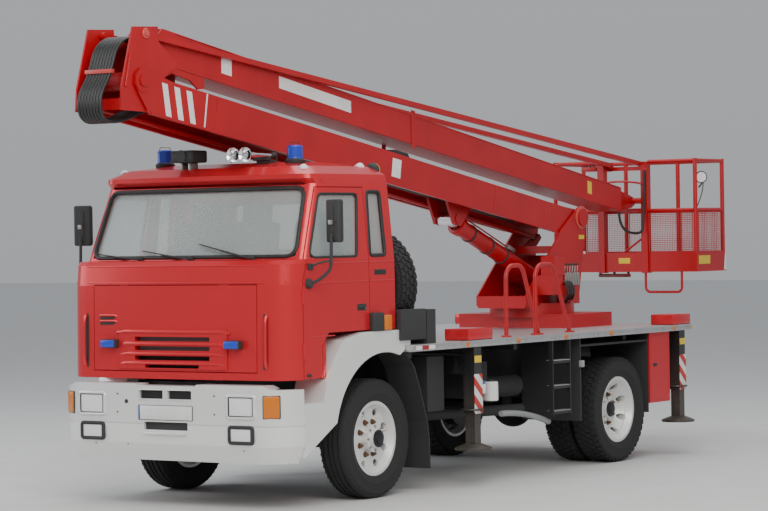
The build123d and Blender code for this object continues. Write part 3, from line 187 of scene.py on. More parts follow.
def moulded_grain():
    """Pebbled grain of moulded plastic and rubber, with pale dust in it."""
    def build(b, given):
        place = b.place()
        pebble = b.add("TexVoronoi", {"Vector": place, "Scale": given["Grain scale"]}).outputs["Distance"]
        broad = b.noise(place, 0.25, 3)
        fine = b.noise(place, 0.01, 3, 0.6)
        dust = b.times(b.ramp(broad, 0.35, 0.75), b.ramp(fine, 0.35, 0.7, 0.3, 1.0), given["Dust"])
        return {
            "Colour": b.mix(
                dust, b.shaded(given["Base"], b.ramp(fine, 0.3, 0.7, 0.85, 1.15)), given["Dust colour"]),
            "Roughness": b.total(
                given["Gloss level"], b.times(dust, 0.3), b.ramp(broad, 0.3, 0.7, -0.05, 0.06)),
            "Height": b.total(b.ramp(pebble, 0.0, 0.8), b.times(fine, 0.5))}
    return effect("Moulded grain", {
        "Base": (0.03, 0.03, 0.03, 1), "Dust colour": (0.22, 0.19, 0.16, 1), "Grain scale": 900.0,
        "Dust": 0.25, "Gloss level": 0.5,
    }, ("Colour", "Roughness", "Height"), build)


def bare_metal():
    """Drawn or cast metal with stains and fine scratches."""
    def build(b, given):
        place = b.place()
        lines = b.noise(b.stretched(place, 30, 900, 900), 1.0, 2)
        stain = b.times(b.ramp(b.noise(place, 0.09, 5, 0.65), 0.45, 0.7), given["Stain amount"])
        fine = b.noise(place, 0.006, 2)
        return {
            "Colour": b.mix(
                stain, b.shaded(given["Metal"], b.ramp(fine, 0.3, 0.7, 0.88, 1.1)), given["Stain"]),
            "Roughness": b.total(
                given["Gloss level"], b.times(stain, 0.35), b.ramp(lines, 0.3, 0.7, -0.05, 0.08)),
            "Height": b.total(b.times(lines, 0.4), b.times(fine, 0.4), b.times(stain, 0.4)),
            "Stain mask": stain}
    return effect("Bare metal", {
        "Metal": (0.6, 0.6, 0.6, 1), "Stain": (0.10, 0.06, 0.04, 1), "Stain amount": 0.4, "Gloss level": 0.35,
    }, ("Colour", "Roughness", "Height", "Stain mask"), build)


def tread_plate():
    """Raised lozenges of chequered plate, turned in turn."""
    def build(b, given):
        x, y, _ = b.split(b.place())
        pitch = given["Pitch"]
        u = b.maths("DIVIDE", b.maths("ADD", x, y), pitch)
        v = b.maths("DIVIDE", b.maths("SUBTRACT", x, y), pitch)
        turn = b.maths("FLOORED_MODULO", b.total(b.maths("FLOOR", u), b.maths("FLOOR", v)), 2.0)
        fu = b.maths("SUBTRACT", b.maths("FRACT", u), 0.5)
        fv = b.maths("SUBTRACT", b.maths("FRACT", v), 0.5)
        keep = b.maths("SUBTRACT", 1.0, turn)
        along = b.total(b.times(fu, keep), b.times(fv, turn))
        across = b.total(b.times(fv, keep), b.times(fu, turn))
        reach = b.total(b.maths("POWER", b.maths("DIVIDE", along, 0.42), 2.0),
                        b.maths("POWER", b.maths("DIVIDE", across, 0.14), 2.0))
        return {"Raised": b.ramp(reach, 1.0, 0.6)}
    return effect("Tread plate", {"Pitch": 0.032}, ("Raised",), build)


def weave():
    """Plain weave of warp and weft."""
    def build(b, given):
        x, y, z = b.split(b.place())
        warp = b.maths("SINE", b.times(b.total(x, b.times(z, 0.35)), given["Threads"]))
        weft = b.maths("SINE", b.times(b.total(y, z), given["Threads"]))
        knot = b.ramp(b.times(warp, weft), -1.0, 1.0)
        cloud = b.noise(b.place(), 0.12, 3)
        level = b.total(knot, b.ramp(cloud, 0.3, 0.7, -0.25, 0.25))
        return {"Colour": b.mix(b.maths("ADD", level, 0.0, clamp=True), given["Shade"], given["Thread"]),
                "Height": knot}
    return effect("Weave", {
        "Thread": (0.1, 0.1, 0.12, 1), "Shade": (0.03, 0.03, 0.04, 1), "Threads": 2400.0,
    }, ("Colour", "Height"), build)


# Finishes

def blank_material(name):
    """New material, the board of its nodes and its shader."""
    made = bpy.data.materials.new(name)
    made.use_nodes = True
    return made, Board(made.node_tree), made.node_tree.nodes["Principled BSDF"]


def new_finish(name, effect_tree, values, depth, strength=0.5, **sockets):
    """Material whose looks come from an effect, with values of the shader's own in sockets."""
    made, b, shader = blank_material(name)
    group = b.add("Group", node_tree=effect_tree)
    for label, value in values.items():
        group.inputs[label].default_value = value
    b.link(group.outputs["Colour"], shader, "Base Color")
    if "Roughness" in group.outputs:
        b.link(group.outputs["Roughness"], shader, "Roughness")
    b.link(b.bump(group.outputs["Height"], strength, depth), shader, "Normal")
    for label, value in sockets.items():
        shader.inputs[label.replace("_", " ")].default_value = value
    own = next((values[label] for label in ("Paint", "Base", "Metal") if label in values), PLAIN_GREY)
    made.diffuse_color = (*own[:3], 1)
    return b, shader, group


def rgba(colour):
    return (*colour, 1.0)


def painted(name, colour, amount, height, gloss, chips, coat):
    """Paint with dirt up to a height above the ground, chips and a clear coat."""
    values = {"Paint": rgba(colour), "Dirt amount": amount, "Dirt height": height, "Gloss level": gloss,
              "Chips": chips}
    new_finish(name, weathering(), values, 0.0012, 0.35, Coat_Weight=coat, Coat_Roughness=0.12)


def moulded(name, colour, dust, gloss, grain=900.0, depth=0.0006):
    """Plastic or rubber with a grain."""
    values = {"Base": rgba(colour), "Dust": dust, "Gloss level": gloss, "Grain scale": grain}
    new_finish(name, moulded_grain(), values, depth)


def metal(name, colour, stain, gloss, rust=(0.10, 0.06, 0.04)):
    """Metal that is duller where it is stained."""
    values = {"Metal": rgba(colour), "Stain": rgba(rust), "Stain amount": stain, "Gloss level": gloss}
    b, shader, group = new_finish(name, bare_metal(), values, 0.0008, 0.4)
    b.link(b.ramp(group.outputs["Stain mask"], 0.0, 1.0, 1.0, 0.35), shader, "Metallic")


def cloth(name, thread, shade, threads=2400.0):
    """Woven cloth with a soft sheen."""
    values = {"Thread": rgba(thread), "Shade": rgba(shade), "Threads": threads}
    new_finish(name, weave(), values, 0.0012, 0.6, Roughness=0.85, Sheen_Weight=0.3)


def glazed(name, tint, weight, rough=0.02):
    """Clear glass or lens with faint dust."""
    _, b, shader = blank_material(name)
    film = b.ramp(b.noise(b.place(), 0.2, 4), 0.35, 0.75)
    dusty = rgba([min(1.0, 0.85 * c + 0.1) for c in tint])
    b.link(b.mix(b.times(film, 0.25), rgba(tint), dusty), shader, "Base Color")
    b.link(b.ramp(film, 0.0, 1.0, rough, rough + 0.05), shader, "Roughness")
    shader.inputs["Transmission Weight"].default_value = weight
    shader.inputs["IOR"].default_value = 1.45
    return b, shader


def ribbed_lens(name, tint, pitch, weight):
    """Moulded lamp lens with fine upright ribs."""
    b, shader = glazed(name, tint, weight, 0.08)
    x, y, z = b.split(b.place())
    ribs = b.maths("SINE", b.times(b.total(x, y), 2 * pi / pitch))
    rows = b.maths("SINE", b.times(z, 2 * pi / (3 * pitch)))
    b.link(b.bump(b.total(b.times(ribs, 0.5), b.times(rows, 0.25)), 0.6, 0.002), shader, "Normal")


def chequered(name, colour):
    """Worn metal plate, raised into lozenges."""
    values = {
        "Metal": rgba(colour), "Stain": (0.16, 0.13, 0.11, 1), "Stain amount": 0.55, "Gloss level": 0.38}
    b, shader, group = new_finish(name, bare_metal(), values, 0.0008, 0.4)
    pattern = b.add("Group", node_tree=tread_plate()).outputs["Raised"]
    height = b.total(pattern, b.times(group.outputs["Height"], 0.15))
    b.link(b.bump(height, 0.8, 0.004), shader, "Normal")
    dirt = b.ramp(pattern, 0.0, 1.0, 0.35, 0.0)
    b.link(b.mix(dirt, group.outputs["Colour"], (0.12, 0.11, 0.10, 1)), shader, "Base Color")
    b.link(b.ramp(group.outputs["Stain mask"], 0.0, 1.0, 0.85, 0.3), shader, "Metallic")


def banded(name, first, second, width, slope):
    """Slanting warning bands in two colours."""
    wear = {"Dirt amount": 0.3, "Dirt height": 0.7, "Chips": 0.1}
    values = {"Paint": rgba(first), "Gloss level": 0.35, **wear}
    b, shader, group = new_finish(name, weathering(), values, 0.001, 0.3)
    other = b.add("Group", {"Paint": rgba(second), **wear}, node_tree=weathering())
    _, y, z = b.split(b.place())
    band = b.maths("FRACT", b.maths("DIVIDE", b.total(z, b.times(y, slope)), 2 * width))
    choice = b.ramp(band, 0.49, 0.51)
    b.link(b.mix(choice, group.outputs["Colour"], other.outputs["Colour"]), shader, "Base Color")


# What makes each finish and its values, colour first: a name is one of the settable colours.
FINISHES = {
    "body_paint": (painted, "body_red", 0.20, 0.75, 0.30, 0.10, 0.3),
    "boom_paint": (painted, "body_red", 0.22, 0.7, 0.38, 0.18, 0.1),
    "faded_red": (painted, (0.56, 0.07, 0.06), 0.25, 0.7, 0.42, 0.3, 0.1),
    # Dark red is a darkened copy of the body red, used as painted shade on the tube and lugs under the
    # basket.
    "dark_red": (painted, (0.17, 0.008, 0.012), 0.35, 0.7, 0.42, 0.3, 0.2),
    "white_paint": (painted, "white", 0.28, 0.62, 0.28, 0.12, 0.6),
    "black_paint": (painted, (0.012, 0.012, 0.013), 0.55, 1.0, 0.42, 0.2, 0.2),
    "chassis_paint": (painted, (0.018, 0.017, 0.017), 0.75, 1.1, 0.5, 0.3, 0.1),
    "wheel_paint": (painted, (0.25, 0.245, 0.235), 0.8, 1.0, 0.42, 0.9, 0.1),
    "yellow_paint": (painted, (0.72, 0.50, 0.02), 0.3, 0.7, 0.4, 0.2, 0.2),
    "plate_white": (painted, (0.78, 0.78, 0.76), 0.25, 0.6, 0.35, 0.05, 0.3),
    "grey_paint": (painted, (0.34, 0.35, 0.36), 0.5, 0.9, 0.4, 0.2, 0.2),
    "blue_paint": (painted, (0.04, 0.10, 0.32), 0.4, 0.9, 0.35, 0.2, 0.3),
    "engine_iron": (painted, (0.07, 0.07, 0.068), 0.9, 1.6, 0.6, 0.4, 0.0),
    "axle_iron": (painted, (0.025, 0.024, 0.023), 0.9, 1.0, 0.6, 0.5, 0.0),
    "black_plastic": (moulded, (0.018, 0.018, 0.019), 0.25, 0.48),
    "trim_plastic": (moulded, (0.075, 0.077, 0.082), 0.15, 0.55),
    "seal_rubber": (moulded, (0.012, 0.012, 0.012), 0.15, 0.55, 1500.0, 0.0003),
    "tyre_rubber": (moulded, "tyre", 0.55, 0.72, 600.0, 0.0008),
    "hose_rubber": (moulded, (0.010, 0.010, 0.011), 0.12, 0.34, 1600.0, 0.0002),
    "rusty_steel": (metal, (0.22, 0.14, 0.09), 0.9, 0.6, (0.16, 0.06, 0.025)),
    "bare_steel": (metal, (0.45, 0.44, 0.42), 0.6, 0.38),
    "bright_alloy": (metal, (0.62, 0.62, 0.62), 0.3, 0.3),
    "brass": (metal, (0.62, 0.42, 0.16), 0.35, 0.35),
    "rod_chrome": (metal, (0.72, 0.72, 0.74), 0.12, 0.12),
    "mirror_glass": (metal, (0.75, 0.77, 0.78), 0.03, 0.05, (0.5, 0.5, 0.5)),
    "seat_cloth": (cloth, (0.10, 0.11, 0.14), (0.03, 0.035, 0.05)),
    "window_glass": (glazed, (0.52, 0.60, 0.58), 0.95),
    "lamp_lens": (ribbed_lens, (0.50, 0.52, 0.54), 0.009, 1.0),
    "amber_lens": (ribbed_lens, (0.90, 0.24, 0.01), 0.007, 0.25),
    "red_lens": (ribbed_lens, (0.55, 0.01, 0.01), 0.007, 0.3),
    "blue_lens": (ribbed_lens, (0.02, 0.07, 0.75), 0.012, 0.4),
    "deck_plate": (chequered, (0.38, 0.375, 0.365)),
    "jack_bands": (banded, (0.72, 0.73, 0.72), (0.50, 0.03, 0.02), 0.075, 0.9),
}


def material(name):
    """The finish of that name, made the first time it is asked for."""
    if name not in bpy.data.materials:
        make, colour, *values = FINISHES[name]
        if isinstance(colour, str):
            colour = getattr(bpy.context.scene.truck_finishes, colour)
        make(name, colour, *values)
    return bpy.data.materials[name]


# Modelling tools

def pick(*objects):
    bpy.ops.object.select_all(action="DESELECT")
    for piece in objects:
        piece.select_set(True)
    bpy.context.view_layer.objects.active = objects[0]


def edit(piece, test=None):
    """Edit mode with every face selected, or those that pass the test."""
    pick(piece)
    bpy.ops.object.mode_set(mode="EDIT")
    bpy.ops.mesh.select_mode(type="FACE")
    bpy.ops.mesh.select_all(action="SELECT" if test is None else "DESELECT")
    if test is not None:
        mesh = bmesh.from_edit_mesh(piece.data)
        for face in mesh.faces:
            face.select_set(bool(test(face)))
        bmesh.update_edit_mesh(piece.data)


def leave():
    bpy.ops.object.mode_set(mode="OBJECT")


def soften(piece, edge, steps=2, test=None):
    """Rounds the edges of the chosen faces."""
    edit(piece, test)
    bpy.ops.mesh.bevel(offset=edge / 1000, segments=steps, affect="EDGES", clamp_overlap=True)
    leave()
    return piece


def block(x0, x1, y0, y1, z0, z1, edge=3.0, steps=2):
    """Box between two corners, with rounded edges."""
    low, high = at(x0, y0, z0), at(x1, y1, z1)
    bpy.ops.mesh.primitive_cube_add(size=1, location=(low + high) / 2)
    piece = bpy.context.object
    piece.scale = [abs(b - a) for a, b in zip(low, high)]
    bpy.ops.object.transform_apply(location=True, rotation=False, scale=True)
    return soften(piece, edge, steps) if edge else piece


def side_block(side, x0, x1, *rest):
    """Block given by its places on the vehicle's left, made on either side."""
    return block(*sorted((side * x0, side * x1)), *rest)


def turn_outward():
    """Selects the whole mesh and turns its faces outward."""
    bpy.ops.mesh.select_all(action="SELECT")
    bpy.ops.mesh.normals_make_consistent(inside=False)
    leave()


def slab(points, push, edge=0.0, steps=2):
    """Flat outline of drawing places, pushed out along a drawing vector."""
    bpy.ops.mesh.primitive_circle_add(vertices=len(points), fill_type="NGON")
    piece = bpy.context.object
    for vertex, point in zip(piece.data.vertices, points):
        vertex.co = at(*point)
    edit(piece)
    bpy.ops.mesh.extrude_region_move(TRANSFORM_OT_translate={"value": Vector(push) / 1000})
    turn_outward()
    return soften(piece, edge, steps) if edge else piece


def facing(direction, up=(0, 0, 1)):
    """Turn that takes Z to a direction, with X held level."""
    z = Vector(direction).normalized()
    x = Vector(up).cross(z)
    x = Vector((1, 0, 0)) if x.length < 1e-6 else x.normalized()
    return Matrix((x, z.cross(x), z)).transposed()


def seating(centre, direction):
    """What takes a piece modelled at the origin, facing Z, to its place."""
    return Matrix.Translation(at(*centre)) @ facing(direction).to_4x4()


def settle(piece, centre, direction):
    piece.data.transform(seating(centre, direction))
    return piece


def placed(model, matrix):
    """Copy of a piece with its own mesh, moved by the matrix."""
    made = model.copy()
    made.data = model.data.copy()
    bpy.context.collection.objects.link(made)
    made.data.transform(matrix)
    return made


def turned(profile, centre, direction, steps=32):
    """Round shape: (distance along its axis, radius) points, spun about the axis at a place."""
    bpy.ops.mesh.primitive_circle_add(vertices=len(profile), fill_type="NOTHING")
    piece = bpy.context.object
    for vertex, (along, radius) in zip(piece.data.vertices, profile):
        vertex.co = (radius / 1000, 0, along / 1000)
    pick(piece)
    bpy.ops.object.mode_set(mode="EDIT")
    bpy.ops.mesh.select_all(action="SELECT")
    bpy.ops.mesh.spin(steps=steps, angle=2 * pi, center=(0, 0, 0), axis=(0, 0, 1))
    bpy.ops.mesh.select_all(action="SELECT")
    bpy.ops.mesh.remove_doubles(threshold=0.00002)
    bpy.ops.mesh.delete_loose()
    turn_outward()
    return settle(piece, centre, direction)


def rod(a, b, radius, sides=16, edge=1.5):
    """Round bar between two places, with rounded ends."""
    start, end = at(*a), at(*b)
    bpy.ops.mesh.primitive_cylinder_add(vertices=sides, radius=radius / 1000, depth=(end - start).length)
    piece = bpy.context.object
    if edge:
        soften(piece, edge, 2, lambda face: len(face.verts) > 4)
    middle = [(p + q) / 2 for p, q in zip(a, b)]
    return settle(piece, middle, end - start)


def trace(points, radius, sides, smooth=6, kind="NURBS", closed=False):
    """Curve with a round section through or near the places."""
    bpy.ops.curve.primitive_nurbs_path_add()
    piece = bpy.context.object
    piece.data.splines.clear()
    spline = piece.data.splines.new(kind)
    spline.points.add(len(points) - 1)
    for point, place in zip(spline.points, points):
        point.co = (*at(*place), 1)
    spline.use_cyclic_u = closed
    if kind == "NURBS":
        spline.order_u = 3
        spline.use_endpoint_u = not closed
        spline.resolution_u = smooth
    piece.data.bevel_depth = radius / 1000
    piece.data.bevel_resolution = sides
    piece.data.use_fill_caps = not closed
    return piece


def pipe(points, radius, sides=2, **shape):
    """Bent pipe, as a mesh, whose line is steered by the places."""
    pick(trace(points, radius, sides, **shape))
    bpy.ops.object.convert(target="MESH")
    return bpy.context.object


def bead(points, radius, sides=2, closed=False):
    """Pipe that runs straight from place to place."""
    return pipe(points, radius, sides, kind="POLY", closed=closed)


def join(*shapes):
    shapes = flat(shapes)
    pick(*shapes)
    if len(shapes) > 1:
        bpy.ops.object.join()
    return bpy.context.view_layer.objects.active


def flat(shapes):
    """The shapes as one list, however deep they were given."""
    found = []
    for shape in shapes:
        found.extend(flat(shape) if isinstance(shape, (list, tuple)) else [shape])
    return found


def copies(model, places):
    """The model, made at the origin facing Z, at each (centre, direction)."""
    made = [placed(model, seating(centre, direction)) for centre, direction in places]
    bpy.data.objects.remove(model)
    return join(made)


def spun(model, count):
    """The model and its copies round the X axis."""
    return join(
        model, [placed(model, Matrix.Rotation(2 * pi * index / count, 4, "X")) for index in range(1, count)])


def rounded(corners, radius, run=80.0, turns=4):
    """Closed flat outline with round corners, its long runs divided."""
    path = []
    for index, corner in enumerate(corners):
        point = Vector(corner)
        back = (Vector(corners[index - 1]) - point).normalized()
        ahead = (Vector(corners[(index + 1) % len(corners)]) - point).normalized()
        half = back.angle(ahead) / 2
        centre = point + (back + ahead).normalized() * radius / sin(half)
        start = point + back * radius / tan(half) - centre
        end = point + ahead * radius / tan(half) - centre
        path.extend(centre + radius * start.slerp(end, step / turns) for step in range(turns + 1))
    divided = []
    for index, point in enumerate(path):
        following = path[(index + 1) % len(path)]
        pieces = max(1, round((following - point).length / run))
        divided.extend(point.lerp(following, step / pieces) for step in range(pieces))
    return divided


def ring_places(centre, direction, radius, count, start=0.0):
    """Places round a circle, all facing along its axis."""
    turn = facing(direction)
    places = []
    for index in range(count):
        angle = 2 * pi * index / count + start
        offset = turn @ Vector((radius * cos(angle), radius * sin(angle), 0))
        places.append((tuple(Vector(centre) + offset), direction))
    return places


def frame_corners(x0, x1, z0, z1):
    return [(x0, z0), (x0, z1), (x1, z1), (x1, z0)]


def hex_bolt(size, height, washer=1.5):
    """Hexagon head on a washer, at the origin facing Z."""
    zero = (0, ORIGIN_Y, 0)
    bpy.ops.mesh.primitive_cylinder_add(vertices=6, radius=size * 0.58 / 1000, depth=height / 1000)
    head = bpy.context.object
    head.location = (0, 0, height / 2000)
    bpy.ops.object.transform_apply(location=True)
    soften(head, size * 0.07, 1, lambda face: face.normal.z > 0.9)
    disc = turned([(0, 0), (0, size * 0.8), (washer, size * 0.8), (washer, 0)], zero, (0, 0, 1), 12)
    return join(head, disc)


def bolts(places, size, height):
    return paint("bare_steel", copies(hex_bolt(size, height), places))


def paint(name, *shapes):
    shapes = flat(shapes)
    for shape in shapes:
        shape.data.materials.clear()
        shape.data.materials.append(material(name))
    return shapes


def finish(name, body, slot, *shapes, angle=32):
    """Joins the shapes into the piece of that name, smooths it and lets it ride on its body."""
    piece = join(*shapes)
    bpy.ops.object.transform_apply(location=True, rotation=True, scale=True)
    piece.name = piece.data.name = name
    bpy.ops.object.shade_smooth_by_angle(angle=radians(angle))
    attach(piece, body)
    return piece


COLOUR = {"size": 3, "subtype": "COLOR", "min": 0, "max": 1}


class TruckFinishes(PropertyGroup):
    body_red: FloatVectorProperty(name="Body red", description="Paint of the cab, booms and basket",
                                  default=(0.43, 0.001, 0.005), **COLOUR)
    white: FloatVectorProperty(name="Trim white", description="Paint of the bumper and wheel arches",
                               default=(0.74, 0.75, 0.75), **COLOUR)
    tyre: FloatVectorProperty(name="Tyre black", description="Rubber of the tyres",
                              default=(0.028, 0.027, 0.026), **COLOUR)
    floor: FloatVectorProperty(name="Floor", description="Colour of the studio floor",
                               default=(0.62, 0.61, 0.59), **COLOUR)


class TruckSizes(PropertyGroup):
    seal: FloatProperty(name="Window seal", description="Width of the rubber seal round the glass",
                        default=0.018, unit="LENGTH")
    key_light: FloatProperty(name="Key light", description="Power of the large soft light",
                             default=1500.0, unit="POWER")


# The photo's camera: its place in metres, its azimuth, elevation and roll in degrees, its focal
# length and the photo's width in pixels.
CAMERA_PLACE = (13.286, -19.839, 2.101)
CAMERA_ANGLES = (34.539, 0.44, -0.926)
FOCAL_PIXELS = 2690.293
PHOTO_PIXELS = 768.0
SENSOR_MM = 36.0
FLOOR_SIZE = 160
# Lamps: name, place, size, share of the key light's power and colour.
LIGHTS = (
    ("key", (9.0, -11.0, 9.0), 9.0, 1.0, (1.0, 0.97, 0.93)),
    ("fill", (-10.0, -7.0, 6.0), 8.0, 0.35, (0.93, 0.96, 1.0)),
    ("top", (0.0, 1.0, 12.0), 12.0, 0.55, (1.0, 1.0, 1.0)),
)


def camera_turn(azimuth, elevation, roll):
    """Turn of a camera that looks level along +Y at azimuth 0."""
    a, e, r = radians(azimuth), radians(elevation), radians(roll)
    back = Vector((sin(a) * cos(e), -cos(a) * cos(e), sin(e)))
    right = (-back).cross(Vector((0, 0, 1))).normalized()
    up = back.cross(right)
    return Matrix((cos(r) * right + sin(r) * up, cos(r) * up - sin(r) * right, back)).transposed()


class TRUCK_OT_stage(Operator):
    """Makes the floor, the soft lights and the camera"""
    bl_idname = "truck.stage"
    bl_label = "Studio stage"

    def execute(self, context):
        scene = context.scene
        bpy.ops.mesh.primitive_grid_add(x_subdivisions=8, y_subdivisions=8, size=FLOOR_SIZE)
        floor = context.object
        floor.name = "studio_floor"
        floor_paint, b, shader = blank_material("studio_floor")
        level = b.ramp(b.noise(b.place(), 0.5, 4), 0.3, 0.7, 0.96, 1.02)
        b.link(b.shaded(tuple(scene.truck_finishes.floor), level), shader, "Base Color")
        shader.inputs["Roughness"].default_value = 0.85
        floor.data.materials.append(floor_paint)

        world = bpy.data.worlds.new("soft_sky")
        world.use_nodes = True
        b = Board(world.node_tree)
        height = b.split(b.add("TexCoord").outputs["Generated"])[2]
        sky = b.mix(b.ramp(height, -0.05, 0.7), (0.66, 0.67, 0.69, 1), (0.86, 0.92, 1.0, 1))
        shader = world.node_tree.nodes["Background"]
        b.link(sky, shader, "Color")
        shader.inputs["Strength"].default_value = 0.62
        scene.world = world

        for name, place, size, share, tone in LIGHTS:
            bpy.ops.object.light_add(type="AREA", location=place)
            lamp = context.object
            lamp.name = name
            lamp.data.size = size
            lamp.data.energy = scene.truck_sizes.key_light * share
            lamp.data.color = tone
            lamp.rotation_mode = "QUATERNION"
            lamp.rotation_quaternion = (Vector((0, 0, 1.2)) - lamp.location).to_track_quat("-Z", "Y")

        bpy.ops.object.camera_add(location=CAMERA_PLACE)
        camera = context.object
        camera.name = "photo_view"
        camera.data.sensor_width = SENSOR_MM
        camera.data.lens = FOCAL_PIXELS * SENSOR_MM / PHOTO_PIXELS
        camera.data.clip_end = 300.0
        camera.rotation_mode = "QUATERNION"
        camera.rotation_quaternion = camera_turn(*CAMERA_ANGLES).to_quaternion()
        scene.camera = camera
        return {"FINISHED"}


# Nodes whose finish isn't the one that the record names.
DRESSING = {node: name for name, nodes in (
    ("boom_paint", ("lower_boom", "upper_boom", "elbow_frame", "turret", "basket", "upper_tie_rods",
                    "lower_tie_rod", "subframe", "lift_barrel", "handrails", "turret_controls")),
    ("body_paint", ("lockers", "basket_panels")),
    ("black_paint", ("jack_housings", "jack_leg_front_left", "jack_leg_front_right", "jack_leg_rear_left",
                     "jack_leg_rear_right")),
    ("black_plastic", ("siren_horns",)),
    ("deck_plate", ("deck",)),
) for node in nodes}


class TRUCK_OT_dressing(Operator):
    """Gives every piece of the frame its finish"""
    bl_idname = "truck.dressing"
    bl_label = "Finishes of the frame"

    def execute(self, context):
        for part in frame["record"]["subparts"]:
            name = part["node"]
            dress = material(DRESSING.get(name, part["material_slot"]))
            piece = frame["nodes"][name]
            if not piece.material_slots:
                piece.data.materials.append(dress)
            for holder in piece.material_slots:
                holder.material = dress
        return {"FINISHED"}


# The cab's outside at a level: level, nose, half width, sag of the front and corner radius.
CAB_LEVELS = (
    (1000, -1266, 1118, 0.03, 225), (1732, -1253, 1120, 0.03, 225), (1890, -1238, 1117, 0.03, 225),
    (1920, -1212, 1116, 0.03, 225), (1926, -1072, 1115, 0.06, 120), (2510, -843, 1062, 0.06, 120),
    (2550, -900, 1056, 0.06, 146), (2585, -902, 1048, 0.06, 146), (2650, -790, 930, 0.06, 160),
    (2690, -540, 640, 0.06, 160),
)
SCREEN = [(-1018, 1946), (-968, 2478), (968, 2478), (1018, 1946)]
DOOR_WINDOW = [(-940, 1935), (-745, 2430), (-242, 2430), (-312, 1935)]
QUARTER = [(-138, 1940), (-112, 2446), (66, 2446), (76, 1940)]
REAR_WINDOW = [(-480, 1980), (-480, 2380), (480, 2380), (480, 1980)]
REAR_WALL_Y = 190
BUMPER_FACE = -1361
BUMPER_HALF = 1163
BUMPER_CORNER = 318


def cab_level(z):
    for low, high in zip(CAB_LEVELS, CAB_LEVELS[1:]):
        if z <= high[0]:
            share = (z - low[0]) / (high[0] - low[0])
            return [a + (b - a) * share for a, b in zip(low[1:], high[1:])]
    return CAB_LEVELS[-1][1:]


def cab_front(x, z, proud=0.0):
    """Place on the cab's front."""
    nose, half, sag, corner = cab_level(z)
    bow = half - corner
    past = max(0.0, abs(x) - bow)
    y = nose + sag * min(abs(x), bow) ** 2 / 1000 + corner - sqrt(max(0.0, corner ** 2 - past ** 2))
    return (x, y - proud, z)


def cab_side(side, y, z, proud=0.0):
    """Place on the cab's side."""
    nose, half, sag, corner = cab_level(z)
    bow = half - corner
    ahead = max(0.0, nose + sag * bow * bow / 1000 + corner - y)
    return (side * (bow + sqrt(max(0.0, corner ** 2 - ahead ** 2)) + proud), y, z)


def bumper_turn(x):
    """Depth of the bumper's face and its turn about the upright, at x."""
    turn = asin(max(0.0, abs(x) - BUMPER_HALF + BUMPER_CORNER) / BUMPER_CORNER)
    return BUMPER_FACE + BUMPER_CORNER * (1 - cos(turn)), turn if x > 0 else -turn


def on_bumper(piece, x, z):
    """Takes a piece modelled at the origin, its front towards -Y, to the bumper's face."""
    y, turn = bumper_turn(x)
    piece.data.transform(Matrix.Translation(at(x, y, z)) @ Matrix.Rotation(turn, 4, "Z"))
    return piece


def local(x0, x1, y0, y1, z0, z1, edge=3.0, steps=2):
    """Block whose places are taken from the part's own origin."""
    return block(x0, x1, y0 + ORIGIN_Y, y1 + ORIGIN_Y, z0, z1, edge, steps)


WHEEL_Z = 478
REAR_AXLE_Y = 3762
FRONT_TYRE_X = 938
REAR_TYRES_X = (1027, 735)
SPARE_PLACE = (640, 424, 1691)
NOTCHES_ROUND = 56
LUGS_ROUND = 46
LUG_PITCH = 2 * pi * 472 / LUGS_ROUND
LUG_FOOT = 465
# Rows of lugs: place across the tyre, width and slant.
LUG_ROWS = ((-84, 44, 9), (-29, 42, -9), (29, 42, 9), (84, 44, -9))
NUTS = 8
NUT_CIRCLE = 137.5
# Wheel fittings: flange of the wheel, depth of its dish, reach of its hub and its axle.
FRONT_WHEEL = (1036, 62, 95, 0)
REAR_WHEEL = (1125, 140, 60, REAR_AXLE_Y)


